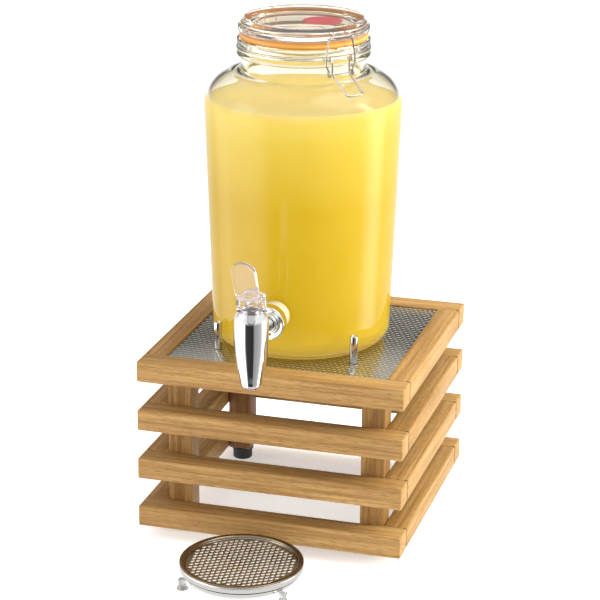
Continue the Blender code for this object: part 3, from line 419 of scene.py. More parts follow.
class Nodes:
    """A small builder for a node tree, which in a material holds its shader and object coordinates too."""

    def __init__(self, tree: Tree, shader: Node | None = None) -> None:
        """Takes the tree to build in and, in a material, its shader."""
        self.tree, self.shader = tree, shader
        self.place = self.add("ShaderNodeTexCoord").outputs["Object"] if shader else None

    def feed(self, value: object, node: Node, name: str | int) -> None:
        """Gives a node's input a value, or a socket to follow.

        Args:
            value: A socket, a number, a vector or a colour.
            node: The node.
            name: The input's name or index.
        """
        socket = node.inputs[name]
        if isinstance(value, Socket):
            self.tree.links.new(value, socket)
        else:
            socket.default_value = (*value, 1) if socket.type == "RGBA" else value

    def show(self, name: str, value: object) -> None:
        """Gives the shader's input a value, or a socket to follow."""
        self.feed(value, self.shader, name)

    def add(self, kind: str, inputs: Mapping[str | int, object] | None = None, **settings: object) -> Node:
        """Adds a node.

        Args:
            kind: The node's type.
            inputs: Values or sockets for its inputs, by name or index.
            settings: Its properties.

        Returns:
            The node.
        """
        node = self.tree.nodes.new(kind)
        for key, value in settings.items():
            setattr(node, key, value)
        for name, value in (inputs or {}).items():
            self.feed(value, node, name)
        return node

    def math(self, operation: str, first: object, second: object = 0.0) -> Socket:
        """The result of a sum over numbers or sockets."""
        return self.add("ShaderNodeMath", {0: first, 1: second}, operation=operation).outputs[0]

    def mix(self, factor: object, first: object, second: object, blend: str = "MIX") -> Socket:
        """Two colours mixed by a factor."""
        inputs = {0: factor, 6: first, 7: second}
        return self.add("ShaderNodeMix", inputs, data_type="RGBA", blend_type=blend).outputs[2]

    def noise(self, scale: object, detail: float = 2.0, vector: Socket | None = None) -> Socket:
        """Noise on the object coordinates or on another vector."""
        inputs = {"Vector": self.place if vector is None else vector, "Scale": scale, "Detail": detail}
        return self.add("ShaderNodeTexNoise", inputs).outputs["Fac"]

    def axes(self, vector: Socket) -> Mapping[str, Socket]:
        """A vector's X, Y and Z."""
        return self.add("ShaderNodeSeparateXYZ", {0: vector}).outputs

    def ramp(self, factor: Socket, stops: Stops) -> Socket:
        """A colour ramp over a factor.

        Args:
            factor: The value that picks the colour.
            stops: Pairs of position and colour, lowest first.

        Returns:
            The colour.
        """
        node = self.add("ShaderNodeValToRGB", {0: factor})
        elements = node.color_ramp.elements
        while len(elements) < len(stops):
            elements.new(1.0)
        for element, (position, colour) in zip(elements, stops):
            element.position, element.color = position, (*colour, 1)
        return node.outputs["Color"]

    def share_up(self, node: str) -> Socket:
        """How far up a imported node's box each point is.

        Args:
            node: The node's name.

        Returns:
            The share, from 0 to 1.
        """
        low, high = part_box(node)
        rise = self.math("SUBTRACT", self.axes(self.place)["Z"], low[2])
        return self.math("DIVIDE", rise, high[2] - low[2])

    def bump(self, height: Socket, strength: float, distance: float) -> None:
        """Gives the shader a relief, by its height from 0 to 1, its strength and its depth in metres."""
        node = self.add("ShaderNodeBump", {"Strength": strength, "Distance": distance, "Height": height})
        self.show("Normal", node.outputs["Normal"])


def new_group(
    name: str, kind: str, inputs: Mapping[str, str], outputs: Mapping[str, str]
) -> tuple[Nodes, Mapping[str, Socket], Node]:
    """Starts a node group with named sockets.

    Args:
        name: The group's name.
        kind: Its tree's type.
        inputs: The kind of each input, by its name.
        outputs: The kind of each output, by its name.

    Returns:
        Its builder, the sockets that its inputs come in by, and the node that its outputs leave by.
    """
    tree = bpy.data.node_groups.new(name, kind)
    for way, sockets in (("INPUT", inputs), ("OUTPUT", outputs)):
        for label, sort in sockets.items():
            tree.interface.new_socket(label, in_out=way, socket_type=f"NodeSocket{sort}")
    nodes = Nodes(tree)
    return nodes, nodes.add("NodeGroupInput").outputs, nodes.add("NodeGroupOutput")


def grain_group() -> Tree:
    """Straight timber grain along the input's X: bands, fine pores and slow drifts of tone.

    Returns:
        The shader node group, which is built at its first use.
    """
    name = "timber_grain"
    if name in bpy.data.node_groups:
        return bpy.data.node_groups[name]
    streaks = {
        "Bands": ((0.024, 1.0, 0.8), 300.0, 7.0),
        "Pores": ((0.09, 1.0, 1.0), 1100.0, 3.0),
        "Drift": ((0.15, 1.0, 1.0), 22.0, 2.0),
    }
    outputs = dict.fromkeys(streaks, "Float")
    nodes, ask, leave = new_group(name, "ShaderNodeTree", {"Vector": "Vector"}, outputs)
    for label, (squeeze, scale, detail) in streaks.items():
        drawn = nodes.add("ShaderNodeVectorMath", {0: ask["Vector"], 1: squeeze}, operation="MULTIPLY")
        nodes.feed(nodes.noise(scale, detail, drawn.outputs[0]), leave, label)
    return nodes.tree


def smudge_group() -> Tree:
    """Soft handling marks: a cloudy roughness between a low and a high value.

    Returns:
        The shader node group, which is built at its first use.
    """
    name = "handling_marks"
    if name in bpy.data.node_groups:
        return bpy.data.node_groups[name]
    inputs = {"Vector": "Vector", "Scale": "Float", "Low": "Float", "High": "Float"}
    nodes, ask, leave = new_group(name, "ShaderNodeTree", inputs, {"Roughness": "Float"})
    cloud = nodes.noise(ask["Scale"], 5.0, ask["Vector"])
    spread = {"Value": cloud, "From Min": 0.35, "From Max": 0.7, "To Min": ask["Low"], "To Max": ask["High"]}
    nodes.feed(nodes.add("ShaderNodeMapRange", spread, clamp=True).outputs["Result"], leave, "Roughness")
    return nodes.tree


@dataclass(frozen=True)
class Finish:
    """A material with a Principled shader on object coordinates.

    It has handling marks (the size of their pattern, and the roughness outside and inside them as shares of
    the finish's own) and, where stated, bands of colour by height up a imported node. The slot is the record's.
    """

    name: str
    colour: Colour
    roughness: float = 0.4
    slot: str = ""
    metallic: float = 0.0
    transmission: float = 0.0
    ior: float = 1.5
    sheen: float = 0.5
    marks: tuple[float, ...] = (40.0, 0.7, 1.3)
    node: str = ""
    bands: Stops = ()

    def build(self) -> bpy.types.Material:
        """Makes the material at its first use.

        Returns:
            The material.
        """
        if self.name in bpy.data.materials:
            return bpy.data.materials[self.name]
        made = bpy.data.materials.new(self.name)
        made.use_nodes = True
        nodes = Nodes(made.node_tree, made.node_tree.nodes["Principled BSDF"])
        nodes.show("Base Color", self.colour)
        nodes.show("Roughness", self.roughness)
        nodes.show("Metallic", self.metallic)
        nodes.show("Transmission Weight", self.transmission)
        nodes.show("IOR", self.ior)
        nodes.show("Specular IOR Level", self.sheen)
        self.detail(nodes)
        if self.marks:
            scale, low, high = self.marks
            inputs = {"Scale": scale, "Low": self.roughness * low, "High": self.roughness * high}
            marks = nodes.add("ShaderNodeGroup", {"Vector": nodes.place, **inputs}, node_tree=smudge_group())
            nodes.show("Roughness", marks.outputs["Roughness"])
        return made

    def detail(self, nodes: Nodes) -> None:
        """Adds what the finish shows close up: here its bands."""
        if self.bands:
            nodes.show("Base Color", nodes.ramp(nodes.share_up(self.node), self.bands))


class Grain(Enum):
    """The direction that a board's grain runs in, as the turn that lays it along X."""

    ACROSS = (0.0, 0.0, 0.0)
    BACK = (0.0, 0.0, -math.pi / 2)
    UP = (0.0, math.pi / 2, 0.0)


@dataclass(frozen=True)
class Oak(Finish):
    """Oiled oak, honey coloured, with straight grain, fine pores and boards of slightly different tone."""

    roughness: float = 0.5
    slot: str = "oak"
    sheen: float = 0.22
    marks: tuple[float, ...] = (25.0, 0.85, 1.15)
    grain: Grain = Grain.ACROSS
    pale: Colour = (0.52, 0.32, 0.12)
    deep: Colour = (0.27, 0.135, 0.04)
    pore: Colour = (0.15, 0.07, 0.02)
    seam: Colour = (0.07, 0.03, 0.01)
    seam_width: float = 2.6 * MM
    seam_depth: float = 4 * MM
    seam_strength: float = 0.85
    pore_strength: float = 0.6
    pore_relief: float = 0.25
    pore_depth: float = 0.2 * MM

    def joint_line(self, nodes: Nodes) -> Socket:
        """The dark line on the stand's sides where a side slat butts against a front or rear one.

        Args:
            nodes: The material's builder.

        Returns:
            The line's mask.
        """
        low, high = corners("front_slat_1")[0], corners("rear_slat_1")[1]
        centre = (low + high) / 2
        axes = nodes.axes(nodes.place)

        def away(axis: str, at: float, half: float) -> Socket:
            """How far outside a pair of planes a point is."""
            offset = nodes.math("SUBTRACT", axes[axis], at)
            return nodes.math("SUBTRACT", nodes.math("ABSOLUTE", offset), half)

        back = nodes.math("ABSOLUTE", away("Y", centre.y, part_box("rear_slat_1")[0][1] - centre.y))
        near = nodes.math("LESS_THAN", back, self.seam_width / 2)
        outer = nodes.math("GREATER_THAN", away("X", centre.x, high.x - centre.x), -self.seam_depth)
        return nodes.math("MULTIPLY", nodes.math("MULTIPLY", near, outer), self.seam_strength)

    def detail(self, nodes: Nodes) -> None:
        """Adds the grain, the pores, each board's tone and the lines at the joints.

        Args:
            nodes: The material's builder.
        """
        turn = nodes.add("ShaderNodeMapping", {"Vector": nodes.place, "Rotation": self.grain.value})
        laid = {"Vector": turn.outputs["Vector"]}
        grain = nodes.add("ShaderNodeGroup", laid, node_tree=grain_group()).outputs
        bands = nodes.ramp(grain["Bands"], ((0.28, self.deep), (0.5, self.colour), (0.72, self.pale)))
        pores = nodes.ramp(grain["Pores"], ((0.5, DARK), (0.72, WHITE)))
        board = nodes.mix(nodes.math("MULTIPLY", pores, self.pore_strength), bands, self.pore)
        tone = nodes.add("ShaderNodeAttribute", attribute_name=TONE).outputs["Fac"]
        drifts = ((grain["Drift"], 0.3, (0.86, 0.84, 0.82), 0.7), (tone, 0.0, (0.86, 0.84, 0.80), 1.0))
        for factor, low, darker, high in drifts:
            board = nodes.mix(1.0, board, nodes.ramp(factor, ((low, darker), (high, WHITE))), "MULTIPLY")
        nodes.show("Base Color", nodes.mix(self.joint_line(nodes), board, self.seam))
        nodes.bump(pores, self.pore_relief, self.pore_depth)


@dataclass(frozen=True)
class Sheet(Finish):
    """Stainless sheet with faint rolling lines and handling marks."""

    slot: str = "stainless_steel"
    metallic: float = 1.0
    marks: tuple[float, ...] = (35.0, 0.8, 1.5)
    squeeze: Place = (40.0, 900.0, 900.0)
    line_shade: float = 0.86

    def detail(self, nodes: Nodes) -> None:
        """Adds the rolling lines, or the bands where the sheet has them.

        Args:
            nodes: The material's builder.
        """
        if self.bands:
            super().detail(nodes)
            return
        drawn = nodes.add("ShaderNodeMapping", {"Vector": nodes.place, "Scale": self.squeeze})
        lines = nodes.noise(1.0, vector=drawn.outputs["Vector"])
        darker = tuple(part * self.line_shade for part in self.colour)
        nodes.show("Base Color", nodes.ramp(lines, ((0.3, darker), (0.7, self.colour))))


@dataclass(frozen=True)
class ClearGlass(Finish):
    """Pressed clear glass, with the slight unevenness that a mould leaves."""

    roughness: float = 0.0
    slot: str = "clear_glass"
    transmission: float = 1.0
    marks: tuple[float, ...] = ()
    relief: float = 0.03
    wave_scale: float = 26.0
    wave_depth: float = 1 * MM

    def detail(self, nodes: Nodes) -> None:
        """Adds the tints by height and a slow wave to the surface."""
        super().detail(nodes)
        nodes.bump(nodes.noise(self.wave_scale, 1.0), self.relief, self.wave_depth)


@dataclass(frozen=True)
class Drink(Finish):
    """Cloudy orange juice, a little paler in places, with a painted glow by height that stands in for light
    passing through from behind.
    """

    marks: tuple[float, ...] = ()
    pale: Colour = (0.39, 0.26, 0.01)
    # painted light: emission by height standing in for light through the juice, with a painted highlight near
    # the surface
    glow: Stops = (
        (0.02, (0.47, 0.32, 0.05)),
        (0.12, (0.34, 0.21, 0.0)),
        (0.5, (0.33, 0.21, 0.0)),
        (0.72, (0.47, 0.365, 0.06)),
        (0.798, (0.57, 0.47, 0.13)),
        (0.812, (0.56, 0.49, 0.25)),
    )

    def detail(self, nodes: Nodes) -> None:
        """Adds slow clouds of paler juice and the painted glow by height, brighter at the foot and brightest,
        as a painted highlight, just under the surface.

        Args:
            nodes: The material's builder.
        """
        nodes.show("Emission Color", nodes.ramp(nodes.share_up("glass_jar"), self.glow))
        nodes.show("Emission Strength", 1.0)
        nodes.show("Base Color", nodes.ramp(nodes.noise(14.0), ((0.35, self.colour), (0.75, self.pale))))


@dataclass(frozen=True)
class Glow(Finish):
    """A white that glows a little, like a light table, so that shadows on it stay faint."""

    marks: tuple[float, ...] = ()
    strength: float = 0.45
    cloud_shade: float = 0.99
    lit: bool = True

    def detail(self, nodes: Nodes) -> None:
        """Adds the glow and a very slight cloudiness.

        Args:
            nodes: The material's builder.
        """
        darker = tuple(part * self.cloud_shade for part in self.colour)
        tint = nodes.ramp(nodes.noise(2.0), ((0.3, darker), (0.7, self.colour)))
        nodes.show("Emission Strength", self.strength)
        nodes.show("Emission Color", tint)
        nodes.show("Base Color", tint if self.lit else DARK)


OAK_ACROSS = Oak("oak_across", (0.40, 0.225, 0.074))
OAK_BACK = Oak("oak_back", (0.40, 0.225, 0.074), grain=Grain.BACK)
OAK_UP = Oak("oak_up", (0.36, 0.19, 0.06), grain=Grain.UP)
# painted shade: a darker oak for the rear left post, standing in for the shade on its inner faces
OAK_UP_PAINTED_SHADE = Oak("oak_up_dark", (0.22, 0.105, 0.035), grain=Grain.UP, pale=(0.3, 0.16, 0.06))
PLATE = Sheet("plate_sheet", (0.40, 0.385, 0.33), 0.13)
GROUND = Sheet("grille_ground", (0.42, 0.42, 0.39), 0.24)
DASH = Sheet("raised_dashes", (0.54, 0.52, 0.46), 0.2)
BRIGHT_DASH = Sheet("bright_dashes", (0.95, 0.93, 0.88), 0.32)
BRONZE = Sheet("bronzed_rim", (0.30, 0.23, 0.15), 0.22)
POLISHED = Sheet("polished_sheet", (0.72, 0.70, 0.67), 0.10)
PAN_TONE, PAN_GROOVE_SHADE = (0.74, 0.72, 0.69), (0.10, 0.085, 0.07)  # painted shade: the groove round the pan's side is darkened where shade falls in it
PAN_BANDS = ((0.37, PAN_TONE), (0.39, PAN_GROOVE_SHADE), (0.47, PAN_GROOVE_SHADE), (0.49, PAN_TONE))
PAN = Sheet("pan_sheet", PAN_TONE, 0.12, node="tray_pan", bands=PAN_BANDS)
WIRE = Finish("drawn_wire", (0.50, 0.47, 0.43), 0.14, "steel_wire", 1.0)
# painted reflection: the same drawn steel wire, made lighter and yellower to stand in for the juice that it
# reflects
WIRE_PAINTED_REFLECTION = Finish("bright_wire", (0.84, 0.79, 0.70), 0.10, "steel_wire", 1.0)
CHROME = Finish("chrome_plate", (0.86, 0.86, 0.85), 0.035, "chrome", 1.0)
JAR_TONE, JAR_FOOT, JAR_CROWN = (0.975, 0.98, 0.975), (0.84, 0.74, 0.42), (0.95, 0.92, 0.81)
JAR_BANDS = ((0.024, JAR_FOOT), (0.041, JAR_TONE), (0.748, JAR_TONE), (0.836, JAR_CROWN))
GLASS = ClearGlass("jar_glass", JAR_TONE, ior=1.31, node="glass_jar", bands=JAR_BANDS)
LID_GLASS = ClearGlass("lid_glass", (0.995, 0.95, 0.89), ior=1.2)
CLEAR = Finish("clear_acrylic", (0.93, 0.89, 0.91), 0.05, "clear_plastic", transmission=0.93, ior=1.19)
# painted shade: the feet's grey stands in for the darker surroundings seen through them
CLEAR_FOOT = Finish("clear_foot", (0.52, 0.52, 0.51), 0.16, "clear_plastic", transmission=1.0)
JUICE = Drink("orange_drink", (0.365, 0.235, 0.0), 0.35, "orange_rubber", sheen=0.18)
SEAL_TONE, SEAL_PALE = (0.52, 0.19, 0.02), (0.62, 0.31, 0.06)  # the seal is paler between its two ribs
SEAL_BANDS = ((0.26, SEAL_TONE), (0.36, SEAL_PALE), (0.64, SEAL_PALE), (0.72, SEAL_TONE))
SEAL = Finish("orange_seal", SEAL_TONE, 0.45, "orange_rubber", node="lid_gasket", bands=SEAL_BANDS)
LABEL = Finish("red_label", (0.56, 0.11, 0.12), 0.5, "orange_rubber")
BLACK = Finish("black_rubber", (0.022, 0.021, 0.02), 0.6, "black_rubber")
PALE = Finish("pale_silicone", (0.70, 0.61, 0.40), 0.35, "pale_rubber", transmission=0.25, ior=1.42)
GREY = Finish("grey_tab", (0.33, 0.33, 0.33), 0.35, "grey_plastic")


# Pieces


def add_piece(
    name: str,
    shape: Shape | Mesh,
    finish: Finish,
    body: str,
    stands_for: Sequence[str] = (),
    sharp: float = 35,
) -> Object:
    """Makes a finished piece of the dispenser.

    Args:
        name: The piece's name.
        shape: Its shape or mesh, in place.
        finish: Its finish.
        body: The moving body that it rides on.
        stands_for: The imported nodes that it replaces.
        sharp: Edges steeper than this, in degrees, stay sharp.

    Returns:
        The piece.
    """
    mesh = shape if isinstance(shape, Mesh) else as_mesh(shape, name)
    mesh.materials.clear()
    mesh.materials.append(finish.build())
    mesh.shade_smooth()
    mesh.set_sharp_from_angle(angle=math.radians(sharp))
    made = linked(name, mesh)
    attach(made, body)
    if stands_for:
        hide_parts(*stands_for)
    LOG.info("%s: %d faces on %s", name, len(mesh.polygons), body)
    return made


@dataclass(frozen=True)
class Repeat:
    """A Geometry Nodes tree that repeats one shape over a staggered grid of places."""

    name: str
    columns: int
    rows: int
    pitch_across: float
    pitch_back: float
    stagger: float = 0.0
    turn: float = 0.0
    reach: float = 1.0
    seed: int = 7

    INPUTS = {
        "Columns": "Int", "Rows": "Int", "Pitch Across": "Float", "Pitch Back": "Float",
        "Stagger": "Float", "Turn": "Float", "Reach": "Float", "Seed": "Int",
    }

    def tree(self) -> Tree:
        """Builds the tree at its first use, with a named input for every size.

        Returns:
            The tree.
        """
        name = "staggered_repeat"
        if name in bpy.data.node_groups:
            return bpy.data.node_groups[name]
        inputs = {"Geometry": "Geometry", **self.INPUTS, "Shape": "Object", "Material": "Material"}
        nodes, ask, leave = new_group(name, "GeometryNodeTree", inputs, {"Geometry": "Geometry"})

        def span(count: str, pitch: str) -> Socket:
            """The length of a row of places."""
            return nodes.math("MULTIPLY", nodes.math("SUBTRACT", ask[count], 1.0), ask[pitch])

        def then(kind: str, before: Socket, others: Mapping[str, object], **settings: object) -> Socket:
            """A step that takes the geometry of the one before."""
            first = "Points" if kind == "GeometryNodeInstanceOnPoints" else "Geometry"
            return nodes.add(kind, {first: before, **others}, **settings).outputs[0]

        sizes = {"Size X": span("Columns", "Pitch Across"), "Size Y": span("Rows", "Pitch Back")}
        counts = {"Vertices X": ask["Columns"], "Vertices Y": ask["Rows"]}
        grid = nodes.add("GeometryNodeMeshGrid", sizes | counts).outputs["Mesh"]
        index = nodes.add("GeometryNodeInputIndex").outputs[0]
        odd = nodes.math("MODULO", nodes.math("MODULO", index, ask["Rows"]), 2.0)
        push = nodes.math("MULTIPLY", nodes.math("MULTIPLY", odd, ask["Stagger"]), ask["Pitch Across"])
        offset = nodes.add("ShaderNodeCombineXYZ", {0: push}).outputs[0]
        length = nodes.add(
            "ShaderNodeVectorMath", {0: nodes.add("GeometryNodeInputPosition").outputs[0]}, operation="LENGTH"
        ).outputs["Value"]
        outside = nodes.add(
            "FunctionNodeCompare",
            {"A": length, "B": ask["Reach"]},
            data_type="FLOAT",
            operation="GREATER_THAN",
        ).outputs[0]
        source = nodes.add("GeometryNodeObjectInfo", {"Object": ask["Shape"]}).outputs["Geometry"]
        angle = nodes.add("ShaderNodeCombineXYZ", {2: ask["Turn"]}).outputs[0]
        chance = nodes.add("FunctionNodeRandomValue", {"Seed": ask["Seed"]}, data_type="FLOAT").outputs[1]
        made = then("GeometryNodeSetPosition", grid, {"Offset": offset})
        made = then("GeometryNodeDeleteGeometry", made, {"Selection": outside}, domain="POINT")
        made = then("GeometryNodeInstanceOnPoints", made, {"Instance": source, "Rotation": angle})
        tone = {"Name": TONE, "Value": chance}
        made = then("GeometryNodeStoreNamedAttribute", made, tone, data_type="FLOAT", domain="INSTANCE")
        made = then("GeometryNodeRealizeInstances", made, {})
        nodes.feed(then("GeometryNodeSetMaterial", made, {"Material": ask["Material"]}), leave, "Geometry")
        return nodes.tree

    def mesh(self, shape: Shape, finish: Finish, place: Matrix) -> Mesh:
        """Repeats a shape and puts the result in place.

        Args:
            shape: The shape to repeat, about the origin.
            finish: The finish that the tree sets.
            place: Where the grid's middle goes, and how it is turned.

        Returns:
            The plain mesh.
        """
        source = linked(f"{self.name}_shape", as_mesh(shape, self.name))
        carrier = linked(self.name, bpy.data.meshes.new(f"{self.name}_carrier"))
        modifier = carrier.modifiers.new("repeat", "NODES")
        modifier.node_group = self.tree()
        values = dict(zip(self.INPUTS, astuple(self)[1:])) | {"Shape": source, "Material": finish.build()}
        for item in modifier.node_group.interface.items_tree:
            if item.in_out == "INPUT" and item.name in values:
                modifier[item.identifier] = values[item.name]
        made = evaluated(carrier)
        made.transform(place)
        for item in (source, carrier):
            bpy.data.objects.remove(item)
        return made


@dataclass
class Dashes:
    """A staggered field of raised dashes, each a low elongated dome."""

    width: float
    rise: float
    length: float = 6 * MM
    turn: float = math.radians(24)
    pitch_across: float = 5.85 * MM
    pitch_back: float = 6.3 * MM

    def lay(
        self,
        name: str,
        size: Point,
        finish: Finish,
        body: str,
        place: Matrix,
        spare: int = 0,
        reach: float = 1.0,
    ) -> None:
        """Lays the dashes on a sheet.

        Args:
            name: The piece's name.
            size: The field's width and depth.
            finish: Their finish.
            body: The moving body that they ride on.
            place: Where the field's middle goes, and how it is turned.
            spare: How many more rows and columns to lay.
            reach: How far from the middle they go.
        """
        dash = bmesh.new()
        bmesh.ops.create_uvsphere(dash, u_segments=8, v_segments=5, radius=0.5)
        moved(dash, Matrix.Diagonal((self.length, self.width, self.rise * 2, 1)))
        columns, rows = int(size[0] / self.pitch_across) + spare, int(size[1] / self.pitch_back) + spare
        grid = Repeat(name, columns, rows, self.pitch_across, self.pitch_back, 0.5, self.turn, reach)
        add_piece(name, grid.mesh(dash, finish, place), finish, body, sharp=80)


# Stand


@dataclass
class Stand:
    """The slatted oak stand, its textured plate, pins and feet."""

    easing: float = 1.8 * MM
    levels: int = 4
    post_tones: tuple[float, ...] = (0.2, 0.4, 0.6, 0.8)
    plate_easing: float = 0.3 * MM
    foot_easing: float = 0.8 * MM
    foot_lip: float = 1.5 * MM
    foot_flange: float = 3 * MM
    foot_chamfer: float = 1 * MM
    pin_easing: float = 0.7 * MM
    pin_girth: float = 1.14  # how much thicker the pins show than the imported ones
    spigot_share: float = 0.6
    dimple_rim_share: float = 0.62
    dimple_share: float = 0.5
    dimple_depth: float = 1.4 * MM
    dash_width: float = 2.6 * MM
    dash_rise: float = 0.17 * MM
    steps: int = 40

    def slats(self) -> None:
        """Repeats each side's slat over the levels."""
        sides = (
            ("front", OAK_ACROSS, 3),
            ("rear", OAK_ACROSS, 11),
            ("left", OAK_BACK, 5),
            ("right", OAK_BACK, 23),
        )
        for side, finish, seed in sides:
            names = [f"{side}_slat_{level + 1}" for level in range(self.levels)]
            low, high = corners(names[0])
            pitch = low.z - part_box(names[1])[0][2]
            half = (high - low) / 2
            board = moved(eased_box(-half, half, self.easing), TO_FRONT.inverted())
            grid = Repeat(f"{side}_slats", 1, self.levels, pitch, pitch, seed=seed)
            centre = middle(names[0]) - Vector((0, 0, pitch * (self.levels - 1) / 2))
            mesh = grid.mesh(board, finish, Matrix.Translation(centre) @ TO_FRONT)
            add_piece(f"{side}_slats", mesh, finish, "stand", names, 60)

    def posts(self) -> None:
        """Makes the four corner posts, each with its tone, the rear left one in a darker oak as painted shade,
        and their feet.
        """
        for corner, tone in zip(CORNERS, self.post_tones):
            box = eased_box(*corners(f"{corner}_post"), self.easing)
            # the rear left post's darker oak is painted shade
            finish = OAK_UP_PAINTED_SHADE if corner == "rear_left" else OAK_UP
            post = add_piece(f"{corner}_post_oak", box, finish, "stand", [f"{corner}_post"], 60).data
            layer = post.attributes.new(TONE, "FLOAT", "POINT")
            layer.data.foreach_set("value", [tone] * len(post.vertices))
            low, high = corners(f"{corner}_foot")
            radius, height = (high.x - low.x) / 2, high.z - low.z
            waist, flange, chamfer = radius - self.foot_lip, height - self.foot_flange, self.foot_chamfer
            outline = [(0, 0), (waist - chamfer, 0), (waist, chamfer), (waist, flange), (radius, flange)]
            outline = [*softened([*outline, (radius, height)], self.foot_easing), (0, height)]
            foot = moved(turned(outline, self.steps), under(f"{corner}_foot"))
            add_piece(f"{corner}_foot_rubber", foot, BLACK, "stand", [f"{corner}_foot"])

    def plate(self) -> None:
        """Makes the textured plate: a sheet and the raised dashes on it."""
        low, high = corners("top_plate")
        add_piece("plate_sheet", eased_box(low, high, self.plate_easing, 2), PLATE, "stand", ["top_plate"])
        size, centre = high - low, (low + high) / 2
        dashes = Dashes(self.dash_width, self.dash_rise)
        place = Matrix.Translation((centre.x - dashes.pitch_across / 4, centre.y, high.z))
        dashes.lay("plate_dashes", (size.x, size.y), DASH, "stand", place)

    def pins(self) -> None:
        """Makes the four locating pins, each with a dimple and a spigot through the plate."""
        for node in (f"{corner}_pin" for corner in CORNERS):
            low, high = corners(node)
            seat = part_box("top_plate")[1][2] + SEAT_GAP
            radius, dimple = (high.x - low.x) / 2 * self.pin_girth, high.z - self.dimple_depth
            spigot = radius * self.spigot_share
            outline = [(0, low.z), (spigot, low.z), (spigot, seat), (radius, seat), (radius, high.z)]
            rim, well = radius * self.dimple_rim_share, radius * self.dimple_share
            outline += [(rim, high.z), (well, dimple), (0, dimple)]
            pin = moved(turned(softened(outline, self.pin_easing), self.steps), under(node, 0))
            add_piece(f"{node}_steel", pin, POLISHED, "stand", [node])

    def build(self) -> None:
        """Makes the whole stand."""
        self.slats()
        self.posts()
        self.plate()
        self.pins()


# Jar


